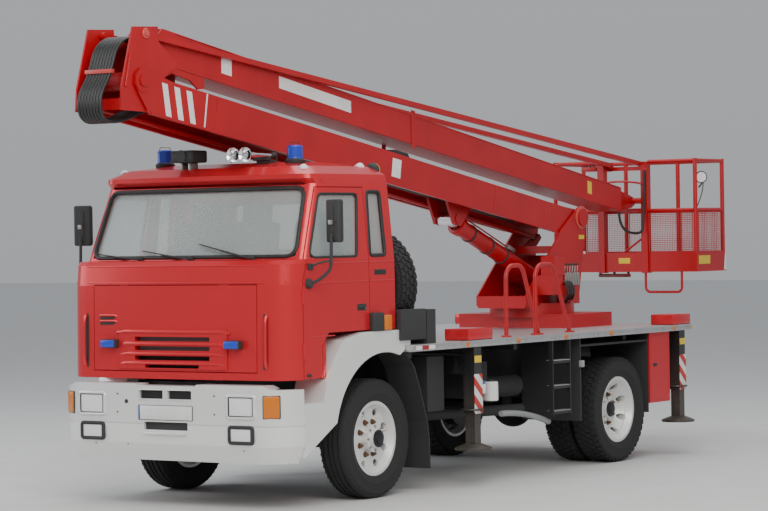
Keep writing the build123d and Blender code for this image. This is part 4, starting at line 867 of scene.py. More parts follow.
class TRUCK_OT_tyres(Operator):
    """Makes the tyres: ribbed at the front, blocks behind and on the spare"""
    bl_idname = "truck.tyres"
    bl_label = "Tyres"

    def carcass(self, tread):
        wall = [
            (96, 300), (108, 304), (118, 330), (125, 352), (127, 356), (126, 362), (126.5, 395), (122, 432),
            (123, 437), (120, 441), (113, 458)]
        half = wall + tread
        profile = [(-x, r) for x, r in half] + [(x, r) for x, r in reversed(half)]
        return turned(profile, (0, ORIGIN_Y, 0), (1, 0, 0), 96)

    def shoulders(self, model, x, z, lean):
        """The model on both shoulders of the tyre."""
        return copies(model, [((side * x, ORIGIN_Y, z), (side * lean, 0, 1)) for side, _ in SIDES])

    def ribbed(self):
        body = self.carcass([(104, 469), (98, 473), (77, 476), (75, 465), (65, 465), (63, 478), (27, 478),
                             (25, 466), (15, 466), (13, 478)])
        notches = self.shoulders(local(-7, 7, -3, 3, -6, 5, 1.0, 1), 110, 462, 0.5)
        return join(body, spun(notches, NOTCHES_ROUND))

    def blocked(self):
        body = self.carcass([(104, 461), (92, 465), (0.1, 467)])
        blocks = []
        for index, (x, width, slant) in enumerate(LUG_ROWS):
            half, long = width / 2, LUG_PITCH * 0.37
            outline = [
                (-half, -long - slant), (0, -long + slant), (half, -long - slant), (half, long - slant),
                (0, long + slant), (-half, long - slant)]
            lug = slab([(u, ORIGIN_Y + v, -4) for u, v in outline], (0, 0, 14.5), 1.5, 1)
            turn = index % 2 * pi / LUGS_ROUND
            place = (x, ORIGIN_Y + LUG_FOOT * sin(turn), LUG_FOOT * cos(turn))
            blocks.append(copies(lug, [(place, (x / 900, sin(turn), cos(turn)))]))
        blocks.append(self.shoulders(local(-10, 10, -12, 12, -16, 10, 3, 1), 112, 452, 1.6))
        return join(body, spun(join(blocks), LUGS_ROUND))

    def execute(self, context):
        front, rear = self.ribbed(), self.blocked()

        def axle(x, y):
            return Matrix.Translation(at(x, y, WHEEL_Z))

        def tyre(name, body, model, *matrices):
            made = [placed(model, matrix) for matrix in matrices]
            return finish(name, body, "tyre_rubber", paint("tyre_rubber", made))

        for side, word in SIDES:
            single = tyre(f"front_tyre_{word}", f"front_{word}_wheel", front, axle(side * FRONT_TYRE_X, 0))
            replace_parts(single, f"tyre_front_{word}")
            pair = tyre(f"rear_tyres_{word}", f"rear_{word}_wheels", rear,
                        *[axle(side * x, REAR_AXLE_Y) for x in REAR_TYRES_X])
            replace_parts(pair, f"tyres_rear_{word}")
        turn = Matrix.Rotation(pi / 2, 4, "Z")
        spare = tyre("spare_wheel_tyre", "truck", rear, Matrix.Translation(at(*SPARE_PLACE)) @ turn)
        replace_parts(spare, "spare_tyre")
        bpy.data.objects.remove(front)
        bpy.data.objects.remove(rear)
        return {"FINISHED"}


class TRUCK_OT_wheels(Operator):
    """Adds the nuts, hub caps and valves of the wheels"""
    bl_idname = "truck.wheels"
    bl_label = "Wheel nuts and hubs"

    def fittings(self, side, flange, dish, hub, y):
        """Nuts on the disc, a greasy cap in the hub and the valve."""
        face = side * (flange - dish)
        axis = (side, 0, 0)
        places = ring_places((face, y, WHEEL_Z), axis, NUT_CIRCLE, NUTS, pi / NUTS)
        nuts = copies(hex_bolt(30, 24, 4), places)
        studs = [rod((face, *spot[1:]), (face + side * 36, *spot[1:]), 9, 10, 1.5) for spot, _ in places]
        cap = turned([(0, 0), (0, 70), (8, 70), (10, 64), (12, 50), (24, 46), (26, 40), (26, 0)],
                     (side * (flange - dish + hub), y, WHEEL_Z), axis, 28)
        ring = bolts(ring_places((side * (flange - dish + hub - 30), y, WHEEL_Z), axis, 97, 8), 15, 10)
        valve = pipe(
            [(face, y + 190, 520), (face + side * 30, y + 192, 524), (face + side * 46, y + 196, 530)], 4)
        return paint("rusty_steel", nuts, studs) + paint("axle_iron", cap) + ring + paint("brass", valve)

    def execute(self, context):
        for side, word in SIDES:
            for name, body, wheel in (("front_nuts", f"front_{word}_wheel", FRONT_WHEEL),
                                      ("rear_nuts", f"rear_{word}_wheels", REAR_WHEEL)):
                finish(f"{name}_{word}", body, "axle_iron", self.fittings(side, *wheel))
        return {"FINISHED"}


class TRUCK_OT_seals(Operator):
    """Makes the rubber seals round the cab's glass"""
    bl_idname = "truck.seals"
    bl_label = "Window seals"

    def execute(self, context):
        width = context.scene.truck_sizes.seal * 1000
        screen = bead([cab_front(x, z, -4) for x, z in rounded(SCREEN, 75)], width, 3, closed=True)
        rear = bead([(x, REAR_WALL_Y, z) for x, z in rounded(REAR_WINDOW, 60)], width, 3, closed=True)
        quarters = [bead([cab_side(side, y, z, -4) for y, z in rounded(QUARTER, 28)], width * 0.85, 3,
                         closed=True) for side, _ in SIDES]
        finish("window_seals", "truck", "black_plastic", paint("seal_rubber", screen, rear, quarters))
        for side, word in SIDES:
            seal = bead(
                [cab_side(side, y, z, -6) for y, z in rounded(DOOR_WINDOW, 40)], width * 0.6, 3, closed=True)
            finish(f"door_seal_{word}", f"{word}_door", "black_plastic", paint("seal_rubber", seal))
        return {"FINISHED"}


WIPERS = (((-986, 1983), (-471, 1932)), ((-470, 2003), (57, 1932)), ((103, 2050), (647, 1932)))


class TRUCK_OT_wipers(Operator):
    """Makes the three wipers on the windscreen"""
    bl_idname = "truck.wipers"
    bl_label = "Wipers"

    def execute(self, context):
        parts = []
        for tip, pivot in WIPERS:
            tip, pivot = Vector(tip), Vector(pivot)
            blade = [tip.lerp(pivot, share / 8) for share in range(7)]
            rubber = bead([cab_front(*point, 9) for point in blade], 5, 1)
            spine = bead([cab_front(*point, 20) for point in blade[1:6]], 4, 1)
            links = [bead([cab_front(*point, 8), cab_front(*point.lerp(blade[3], 0.2), 30)], 3, 1)
                     for point in (blade[1], blade[2], blade[4], blade[5])]
            arm = pipe([cab_front(*tip.lerp(pivot, share), rise) for share, rise in
                        ((0.42, 26), (0.6, 42), (0.85, 40), (1.0, 16))], 7, 2)
            boss = turned(
                [(0, 0), (0, 20), (22, 18), (30, 12), (34, 0)], cab_front(*pivot, 2), (0, -0.7, 0.6), 16)
            parts += [rubber, spine, links, arm, boss]
        finish("wipers", "truck", "black_plastic", paint("black_plastic", parts))
        return {"FINISHED"}


class TRUCK_OT_front_trim(Operator):
    """Adds the ribs, slots, grab bars and mouldings of the cab's front"""
    bl_idname = "truck.front_trim"
    bl_label = "Front trim"

    def strip(self, x0, x1, z, radius, proud, drop=0.0):
        points = [cab_front(x0 + (x1 - x0) * step / 12, z, proud) for step in range(13)]
        if drop:
            points[0] = cab_front(x0, z - drop, proud - radius)
            points[-1] = cab_front(x1, z - drop, proud - radius)
        return bead(points, radius, 3)

    def execute(self, context):
        ribs = [self.strip(-half, half, z, 15, 9, 12)
                for half, z in ((566, 1372), (548, 1277), (542, 1199), (538, 1126))]
        moulding = [self.strip(-1050, 1050, z, 7, proud) for z, proud in ((1752, 1), (1884, 0))]
        hoods = [self.strip(-752, -566, z, 10, 6, 8) for z in (1496, 1452)]
        hoop = ((1094, -4), (1110, 20), (1300, 20), (1484, 20), (1500, -4))
        bars = [pipe([cab_front(side * 905, z, rise) for z, rise in hoop], 13, 3) for side, _ in SIDES]
        finish("front_ribs", "truck", "body_paint", paint("body_paint", ribs, moulding, hoods, bars))
        gaps = [block(-748, -570, cab_front(-650, z, 2)[1], cab_front(-650, z, -8)[1], z - 13, z + 13, 8, 3)
                for z in (1476, 1432)]
        for side, _ in SIDES:
            slot = [cab_front(side * (895 - 22 * turn), z, 1) for turn, z in
                    ((1, 1085), (-1, 1085), (-1, 1508), (1, 1508))]
            gaps.append(slab(slot, (0, 4, 0)))
        backing = [block(-400, 400, -1190, -1184, 1080, 1340, 0)]
        backing += [rod((-400, -1196, z), (400, -1196, z), 1.6, 6, 0) for z in range(1090, 1340, 11)]
        stops = [
            turned([(0, 0), (0, 12), (9, 12), (14, 6), (14, 0)], cab_side(side, y, 1032), (side, 0, 0), 14)
            for side, _ in SIDES for y in (-1000, -972)]
        finish("front_slots", "truck", "black_plastic", paint("black_plastic", gaps, backing, stops))
        return {"FINISHED"}


# Lamps in the bumper: place across and up, width, height and the finish of the rim.
LAMP_UNITS = ((743, 804, 232, 148, "white_paint"), (740, 588, 200, 104, "black_plastic"))


class TRUCK_OT_lamps(Operator):
    """Makes the headlamps, fog lamps, indicators and flashers"""
    bl_idname = "truck.lamps"
    bl_label = "Lamps"

    def execute(self, context):
        parts = []
        for side, _ in SIDES:
            for x, z, width, height, rim in LAMP_UNITS:
                half, tall = width / 2, height / 2
                lens = local(-half, half, -6, 3, -tall, tall, 7, 3)
                bowl = turned([(40, 0), (38, 22), (26, tall * 0.7), (4, tall * 0.94), (6, tall * 0.96),
                               (42, 24), (43, 0)], (0, ORIGIN_Y, 0), (0, 1, 0), 32)
                back = local(-half, half, 36, 42, -tall, tall, 0)
                outer = rounded(frame_corners(-half - 14, half + 14, -tall - 10, tall + 10), 20, 400)
                frame_bead = bead([(u, ORIGIN_Y - 2, v) for u, v in outer], 13, 3, True)
                inner = rounded(frame_corners(-half, half, -tall, tall), 12, 400)
                lining = bead([(u, ORIGIN_Y - 5, v) for u, v in inner], 7, 2, True)
                walls = [local(-half - 1, half + 1, 2, 42, v - 3, v + 3, 0) for v in (-tall, tall)]
                walls += [local(u - 3, u + 3, 2, 42, -tall - 1, tall + 1, 0) for u in (-half, half)]
                for name, piece in (("lamp_lens", lens), ("rod_chrome", bowl), ("black_plastic", back),
                                    ("black_plastic", join(lining, walls)), (rim, frame_bead)):
                    parts += paint(name, on_bumper(piece, side * x, z))
                if rim == "white_paint":
                    heads = [turned([(0, 0), (0, 5), (2, 5), (3, 0)], (u, ORIGIN_Y - 14, v), (0, -1, 0), 10)
                             for u in (-half - 14, half + 14) for v in (-tall, tall)]
                    parts += paint("bare_steel", on_bumper(join(heads), side * x, z))
            amber = local(-64, 64, -8, 30, -85, 85, 12, 3)
            rim = local(-70, 70, -2, 34, -90, 90, 10, 2)
            parts += paint("amber_lens", on_bumper(amber, side * 1003, 804))
            parts += paint("black_plastic", on_bumper(rim, side * 1003, 804))
            parts += paint("black_plastic", side_block(side, 545, 691, -1316, -1254, 1240, 1307, 9, 3))
            parts += paint("blue_lens", side_block(side, 550, 686, -1326, -1300, 1245, 1302, 9, 3))
        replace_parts(finish("lamps", "truck", "lamp_lens", parts), "front_lamps")
        return {"FINISHED"}


# Holes and screws of the bumper: place across and up, and radius.
BUMPER_HOLES = ((-392, 826, 17), (484, 883, 7), (-484, 883, 7), (484, 741, 7), (-484, 741, 7), (-721, 487, 6),
                (-391, 490, 6), (755, 468, 6))
LOWER_FACE = -1349


class TRUCK_OT_bumper_trim(Operator):
    """Adds the blank plate, vents, intake and screws of the bumper"""
    bl_idname = "truck.bumper_trim"
    bl_label = "Bumper trim"

    def execute(self, context):
        parts = paint("black_plastic", block(-272, 272, -1366, -1358, 684, 801, 4))
        parts += paint("plate_white", block(-250, 268, -1369, -1364, 689, 797, 2))
        parts += paint("blue_paint", block(-268, -246, -1369, -1364, 689, 797, 2))
        grille = [block(-262, 262, -1334, -1328, 846, 920, 0), block(-220, 220, -1334, -1328, 600, 678, 0)]
        grille += [rod((-262, -1338, z), (262, -1338, z), 2, 6, 0) for z in range(852, 920, 9)]
        parts += paint("black_plastic", grille)
        shelf = block(-212, 212, -1380, -1350, 574, 588, 5)
        lips = []
        for side, _ in SIDES:
            outline = [(side * 18, 846), (side * 18, 921), (side * 266, 921), (side * 266, 846)][::side]
            lips.append(bead([(u, -1363, v) for u, v in rounded(outline, 8, 400)], 4, 2, True))
        parts += paint("white_paint", shelf, lips)
        for x, z, radius in BUMPER_HOLES:
            depth = BUMPER_FACE if z > 600 else LOWER_FACE
            disc = [(0, 0), (0, radius), (2, radius), (3, radius * 0.6), (3, 0)]
            parts += paint("black_plastic", turned(disc, (x, depth, z), (0, -1, 0), 14))
        finish("bumper_trim", "truck", "white_paint", parts)
        return {"FINISHED"}


class TRUCK_OT_mirrors(Operator):
    """Makes the door mirrors on their bent arms"""
    bl_idname = "truck.mirrors"
    bl_label = "Mirrors"

    def execute(self, context):
        for side, word in SIDES:
            head = block(1193, 1343, -857, -808, 2050, 2380, 16, 3)
            outline = rounded(frame_corners(1199, 1337, 2056, 2374), 16, 400)
            rim = bead([(x, -808, z) for x, z in outline], 7, 2, True)
            glass = block(1203, 1333, -812, -803, 2062, 2368, 4, 2)
            back = block(1248, 1288, -866, -850, 2090, 2330, 6, 2)
            middle = at(1268, -830, 2215)
            slant = Matrix.Rotation(radians(-14), 4, "Z")
            turn = Matrix.Translation(middle) @ slant @ Matrix.Translation(-middle)
            for shape in (head, rim, glass, back):
                shape.data.transform(turn)
            arm = pipe([(1135, -972, 1738), (1172, -962, 1742), (1262, -888, 1830), (1264, -872, 1900),
                        (1264, -868, 2120)], 13, 3)
            stay = pipe([(1130, -955, 1862), (1180, -948, 1900), (1264, -880, 1908)], 8, 2)
            ball = turned(
                [(0, 0), (0, 40), (20, 40), (42, 26), (48, 0)], (1112, -975, 1735), (1, -0.3, 0.1), 24)
            foot = block(1108, 1136, -985, -930, 1840, 1890, 8)
            clamp = block(1244, 1284, -884, -852, 2186, 2222, 5)
            parts = paint("black_plastic", head, rim, back, arm, stay, ball, foot)
            parts += paint("mirror_glass", glass) + paint("bare_steel", clamp)
            mirror = join(parts)
            if side < 0:
                mirror.data.transform(Matrix.Scale(-1, 4, (1, 0, 0)))
                mirror.data.flip_normals()
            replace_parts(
                finish(f"door_mirror_{word}", f"{word}_door", "black_plastic", mirror), f"mirror_{word}")
        return {"FINISHED"}


class TRUCK_OT_door_trim(Operator):
    """Adds the handles and swages of the doors, and the vents and lamps behind them"""
    bl_idname = "truck.door_trim"
    bl_label = "Door trim"

    def strip(self, side, y0, y1, z, radius, proud):
        return bead([cab_side(side, y0 + (y1 - y0) * step / 10, z, proud) for step in range(11)], radius)

    def execute(self, context):
        for side, word in SIDES:
            swages = [self.strip(side, -1038, -172, 1893, 7, -1), self.strip(side, -1038, -172, 1742, 6, -1),
                      self.strip(side, -1030, -640, 1327, 5, -2)]
            recess = side_block(side, 1112, 1122, -334, -206, 1508, 1562, 9, 3)
            grip = side_block(side, 1116, 1134, -322, -226, 1528, 1546, 6, 3)
            lock = turned([(0, 0), (0, 9), (5, 9), (6, 0)], (side * 1120, -222, 1524), (side, 0, 0), 14)
            parts = paint("body_paint", swages) + paint("black_plastic", recess, grip)
            parts += paint("bare_steel", lock)
            finish(f"door_handle_{word}", f"{word}_door", "body_paint", parts)
            rear = [self.strip(side, -158, 190, z, radius, -1) for z, radius in ((1893, 7), (1742, 6))]
            vent = side_block(side, 1112, 1123, -90, 72, 1786, 1828, 10, 3)
            slats = [side_block(side, 1116, 1126, -80, 62, z, z + 4, 1.5, 1) for z in (1796, 1806, 1816)]
            lamp = side_block(side, 1118, 1166, -168, -20, 1338, 1486, 10, 3)
            lens = side_block(side, 1122, 1170, -16, 84, 1342, 1464, 12, 3)
            parts = paint("body_paint", rear) + paint("black_plastic", vent, slats, lamp)
            parts += paint("amber_lens", lens)
            finish(f"cab_side_trim_{word}", "truck", "black_plastic", parts)
        return {"FINISHED"}


class TRUCK_OT_roof(Operator):
    """Makes the beacons, siren, horns and clearance lamps on the roof"""
    bl_idname = "truck.roof"
    bl_label = "Roof fittings"

    def execute(self, context):
        domes, feet = [], []
        guard = ((70, 2700), (72, 2820), (60, 2842), (-60, 2842), (-72, 2820), (-70, 2700))
        ribs = [(28 + 11 * step, 64 - (step % 2) * 2.5) for step in range(9)]
        for side, _ in SIDES:
            place = (side * 659, -500, 2690)
            domes.append(
                turned([(26, 0), (26, 66), *ribs, (126, 60), (132, 44), (134, 0)], place, (0, 0, 1), 36))
            feet.append(turned([(-16, 0), (-16, 74), (0, 80), (14, 80), (20, 70), (26, 68), (26, 0)], place,
                               (0, 0, 1), 36))
            feet.append(bead([(side * 659, -500 + y, z) for y, z in guard], 3, 1))
        parts = paint("blue_lens", domes) + paint("black_plastic", feet)
        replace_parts(finish("roof_beacons", "truck", "blue_lens", parts), "beacons")
        box = block(-322, -98, -850, -650, 2702, 2800, 16, 3)
        mouth = turned([(0, 0), (2, 36), (-8, 42), (-12, 48), (4, 52), (8, 46), (8, 0)], (-210, -852, 2751),
                       (0, -1, 0), 32)
        hoods = [bead([(-316, -856, z), (-104, -856, z)], 4, 1) for z in (2712, 2790)]
        bracket = [block(x, x + 24, -800, -700, 2625, 2706, 4) for x in (-262, -182)]
        parts = paint("black_plastic", box, mouth, hoods) + paint("bare_steel", bracket)
        bell = [(0, 60), (6, 60), (30, 40), (70, 26), (150, 17), (360, 12), (362, 0), (358, 0), (356, 9),
                (150, 13), (70, 22), (32, 35), (4, 55)]
        for x in (350, 470):
            parts += paint("rod_chrome", turned(bell, (x, -905, 2745), (0, 1, 0), 32))
            parts += paint("black_plastic", turned([(0, 0), (0, 22), (40, 24), (60, 16), (60, 0)],
                                                   (x, -560, 2745), (0, 1, 0), 20))
        stand = [block(330, 490, -620, -590, 2705, 2735, 5), block(350, 470, -600, -500, 2680, 2706, 5)]
        air = pipe(
            [(350, -500, 2745), (380, -450, 2752), (420, -430, 2745), (440, -440, 2715), (420, -460, 2680)],
            5, 2)
        parts += paint("black_plastic", stand, air)
        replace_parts(finish("siren_and_horns", "truck", "black_plastic", parts), "siren_horns")
        caps, rims = [], []
        for side, _ in SIDES:
            for y, z in ((-722, 2630), (40, 2648)):
                place, way = (side * 905, y, z), (side * 0.35, -0.1, 1)
                caps.append(turned([(0, 0), (0, 38), (8, 37), (22, 28), (32, 12), (34, 0)], place, way, 24))
                rims.append(turned([(-8, 0), (-8, 45), (2, 46), (6, 38), (6, 0)], place, way, 24))
        work = [turned([(0, 0), (0, 58), (20, 60), (46, 40), (56, 0)], (930, 190, 2622), (0.2, -1, 0.1), 28),
                block(915, 945, 170, 200, 2560, 2600, 5)]
        parts = paint("lamp_lens", caps) + paint("bare_steel", rims) + paint("black_plastic", work)
        shade = turned([(-6, 0), (-6, 60), (2, 60), (2, 0)], (930, 192, 2622), (-0.2, 1, -0.1), 28)
        parts += paint("yellow_paint", shade)
        finish("roof_lamps", "truck", "lamp_lens", parts)
        return {"FINISHED"}


# Hoses in front of the elbow: their line in the side view and their places across the boom.
HOSE_ROUTE = [(-1456, 3588), (-1740, 3660), (-1990, 3590), (-2075, 3340), (-2205, 3180), (-2190, 3010),
              (-2020, 2975), (-1700, 3070), (-1432, 3158)]
HOSE_ROW = (-105, -75, -45, -15, 15, 45, 75, 105)
BASKET_HOSE = [
    (150, 5560, 2290), (150, 5570, 2110), (235, 5830, 2060), (262, 5860, 2160), (262, 5876.7, 2700)]
HOSE_R = 13
# A hose against the line of its steering points, which it rounds off.
LOWER_FOOT = (4616, 2236)
LOWER_RUN = (-0.98678, 0.16213)
LOWER_SIDE = 245
UPPER_SIDE = 155
BASKET_HALF = 822
MESH_PITCH = 19.0
BASKET_FRONT = 5912
BASKET_REAR = 6530
# Jack rows: name, place of the legs, and the front and rear of their covers.
JACKS = (("front", 1262, 1120, 1497), ("rear", 4842, 4664, 5006))


def on_lower(reach, rise):
    """Side-view place at a distance along the lower boom and above its pin line."""
    return (LOWER_FOOT[0] + reach * LOWER_RUN[0] + rise * LOWER_RUN[1],
            LOWER_FOOT[1] + reach * LOWER_RUN[1] - rise * LOWER_RUN[0])


def on_upper(y, share):
    """Side-view place on the upper boom's wall: 0 at its lower edge, 1 at its upper edge."""
    low, high = 3420 - 0.16071 * (y + 1400), 3715 - 0.16676 * (y + 1500)
    return (y, low + share * (high - low))


def corners_on(boom, start, end, low, high, slant=0):
    """Corners of a plate on a boom, its upper edge moved along by the slant."""
    return [boom(start, low), boom(end, low), boom(end + slant, high), boom(start + slant, high)]


def plate(x, corners, thick=2.0, edge=0.0):
    """Thin plate on a side wall, from its side-view corners."""
    return slab([(x, y, z) for y, z in corners], (thick if x > 0 else -thick, 0, 0), edge, 1)


class TRUCK_OT_hoses(Operator):
    """Makes the free hoses of the elbow and the basket"""
    bl_idname = "truck.hoses"
    bl_label = "Hoses"

    def hose(self, name, node, body, points):
        piece = trace(points, HOSE_R, 3, 10)
        piece.name = name
        piece.data.materials.append(material("hose_rubber"))
        bpy.context.view_layer.update()
        pick(piece)
        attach(piece, body)
        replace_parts(piece, node)

    def execute(self, context):
        for index, x in enumerate(HOSE_ROW):
            self.hose(f"elbow_hose_{index + 1}", "elbow_hoses", "elbow", [(x, y, z) for y, z in HOSE_ROUTE])
        self.hose("basket_control_hose", "basket_hose", "basket", BASKET_HOSE)
        clamp = block(-128, 128, -2100, -2050, 3352, 3384, 5)
        finish("hose_clamp", "elbow", "body_paint", paint("faded_red", clamp))
        return {"FINISHED"}


CHANNELS = 2.5
CHANNEL_DEPTH = 0.004


class TRUCK_OT_seats(Operator):
    """Makes the padded seats and their bases"""
    bl_idname = "truck.seats"
    bl_label = "Seats"

    def cushion(self, width, depth, height, crown):
        """Stuffed block about the origin, its broad faces swollen and channelled."""
        bpy.ops.mesh.primitive_cube_add(size=1)
        piece = bpy.context.object
        piece.dimensions = (width / 1000, depth / 1000, height / 1000)
        pick(piece)
        bpy.ops.object.transform_apply(location=False, rotation=False, scale=True)
        edit(piece)
        bpy.ops.mesh.subdivide(number_cuts=7)
        leave()
        for vertex in piece.data.vertices:
            u, v = vertex.co.x * 2000 / width, vertex.co.y * 2000 / depth
            swell = (1 - u * u) * (1 - v * v)
            vertex.co.z *= 1 + crown * swell
            ridge = abs(sin(u * pi * CHANNELS))
            if abs(vertex.co.z) > height / 2100:
                vertex.co.z -= (CHANNEL_DEPTH if vertex.co.z > 0 else -CHANNEL_DEPTH) * (1 - ridge)
        soft = piece.modifiers.new("soft", "SUBSURF")
        soft.levels = 2
        pick(piece)
        bpy.ops.object.modifier_apply(modifier=soft.name)
        return piece

    def execute(self, context):
        bases = []
        tilt = Matrix.Rotation(radians(-10), 4, "X")
        upright = Matrix.Rotation(pi / 2, 4, "X")
        for place, x, width in (("left", 560, 480), ("middle", -90, 440), ("right", -620, 480)):
            seat = self.cushion(width, 440, 138, 0.10)
            seat.data.transform(Matrix.Translation(at(x, -318, 1639)))
            back = self.cushion(width - 20, 556, 108, 0.14)
            back.data.transform(Matrix.Translation(at(x, -70, 1948)) @ tilt @ upright)
            head = self.cushion(250, 170, 88, 0.14)
            head.data.transform(Matrix.Translation(at(x, -14, 2288)) @ tilt @ upright)
            padded = finish(
                f"seat_{place}", "truck", "seat_cloth", paint("seat_cloth", seat, back, head), angle=60)
            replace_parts(padded, "seats")
            bases.append(block(x - 180, x + 180, -500, -140, 1389, 1569, 12))
            bases += [rod((x + shift, -26, 2190), (x + shift, -18, 2250), 6, 10) for shift in (-60, 60)]
            bases.append(rod((x - 190, -515, 1560), (x + 190, -515, 1560), 9, 10))
        finish("seat_bases", "truck", "black_plastic", paint("trim_plastic", bases))
        return {"FINISHED"}


class TRUCK_OT_basket(Operator):
    """Makes the basket's wire mesh, control box, lamp and plates"""
    bl_idname = "truck.basket"
    bl_label = "Basket fittings"

    def mesh(self, along, start, end, fixed, low, high):
        """Panel of crossed wires in a strip frame; along is 0 for X and 1 for Y."""
        def point(run, z, off=0.0):
            return (run, fixed + off, z) if along == 0 else (fixed + off, run, z)

        length, height = end - start, high - low
        upright = rod((0, ORIGIN_Y, 0), (0, ORIGIN_Y, height), 1.7, 5, 0)
        level = rod((0, ORIGIN_Y, 0), (0, ORIGIN_Y, length), 1.7, 5, 0)
        across, rows = round(length / MESH_PITCH), round(height / MESH_PITCH)
        way = (1, 0, 0) if along == 0 else (0, 1, 0)
        wires = [
            copies(upright, [(point(start + length * i / across, low), (0, 0, 1)) for i in range(1, across)]),
            copies(level, [(point(start, low + height * i / rows, 2), way) for i in range(1, rows)])]
        corners = frame_corners(start, end, low, high)
        strips = [rod(point(*a), point(*b), 5, 6, 0) for a, b in zip(corners, corners[1:] + corners[:1])]
        return wires + strips

    def execute(self, context):
        x, front, rear, low, high = BASKET_HALF - 4, BASKET_FRONT + 4, BASKET_REAR - 4, 1886, 2280
        panels = []
        for side, _ in SIDES:
            panels += self.mesh(1, front + 46, rear - 46, side * x, low, high)
            panels += self.mesh(0, *sorted((side * 288, side * (x - 44))), front, low, high)
        for start, end in ((-x + 44, -324), (-276, 276), (324, x - 44)):
            panels += self.mesh(0, start, end, rear, low, high)
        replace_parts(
            finish("basket_mesh", "basket", "body_paint", paint("boom_paint", panels)), "basket_panels")
        parts = paint("boom_paint", block(-500, -330, 5945, 6075, 2706, 2752, 8))
        knob = [(0, 0), (0, 13), (8, 12), (14, 8), (34, 6), (40, 9), (44, 0)]
        parts += paint(
            "black_plastic", [turned(knob, (x, 6010, 2750), (0, 0, 1), 12) for x in (-470, -430, -390)])
        way = (0.3, -1, 0.1)
        lamp = turned([(0, 0), (0, 56), (-26, 50), (-44, 30), (-48, 0)], (835, 6000, 2620), way, 28)
        rim = turned([(0, 52), (0, 60), (8, 60), (8, 52)], (835, 6000, 2620), way, 28)
        stem = pipe([(835, 6010, 2570), (830, 6010, 2540), (806, 5990, 2520)], 8)
        lead = pipe([(835, 6040, 2600), (815, 6080, 2560), (806, 6060, 2440), (800, 5940, 2300)], 5)
        glass = turned([(0, 0), (2, 0), (4, 50), (0, 52)], (836, 5998, 2620), way, 28)
        parts += paint("black_plastic", lamp, rim, stem, lead) + paint("lamp_lens", glass)
        hand = pipe(
            [(-247, 5885, 2560), (-247, 5850, 2575), (0, 5840, 2600), (247, 5850, 2575), (247, 5885, 2560)],
            11, 2)
        # The tube and its lugs under the basket take the dark red: painted shade beneath the toe board.
        tube = rod((-315, 5960, 1655), (40, 5960, 1655), 17, 16)
        lugs = [block(u - 8, u + 8, 5945, 5975, 1655, 1692, 2) for u in (-300, -140, 20)]
        brace = bead([(-225, 5950, 1740), (-220, 5950, 1745), (220, 5950, 2045), (225, 5950, 2050)], 11, 2)
        parts += paint("dark_red", tube, lugs) + paint("boom_paint", hand, brace)
        plates = [block(822, 824, 5948, 6185, 1765, 1848, 0), block(-60, 70, 5909, 5912, 1775, 1830, 0)]
        stripe = slab([(822, 6480, 1700), (822, 6527, 1700), (822, 6527, 1880), (822, 6510, 1880)], (2, 0, 0))
        parts += paint("yellow_paint", plates) + paint("plate_white", stripe)
        parts += paint("boom_paint", [rod((side * 806, y, 1700), (side * 806, y, 1712), 10, 8)
                                      for side, _ in SIDES for y in (5960, 6480)])
        finish("basket_fittings", "basket", "body_paint", parts)
        return {"FINISHED"}


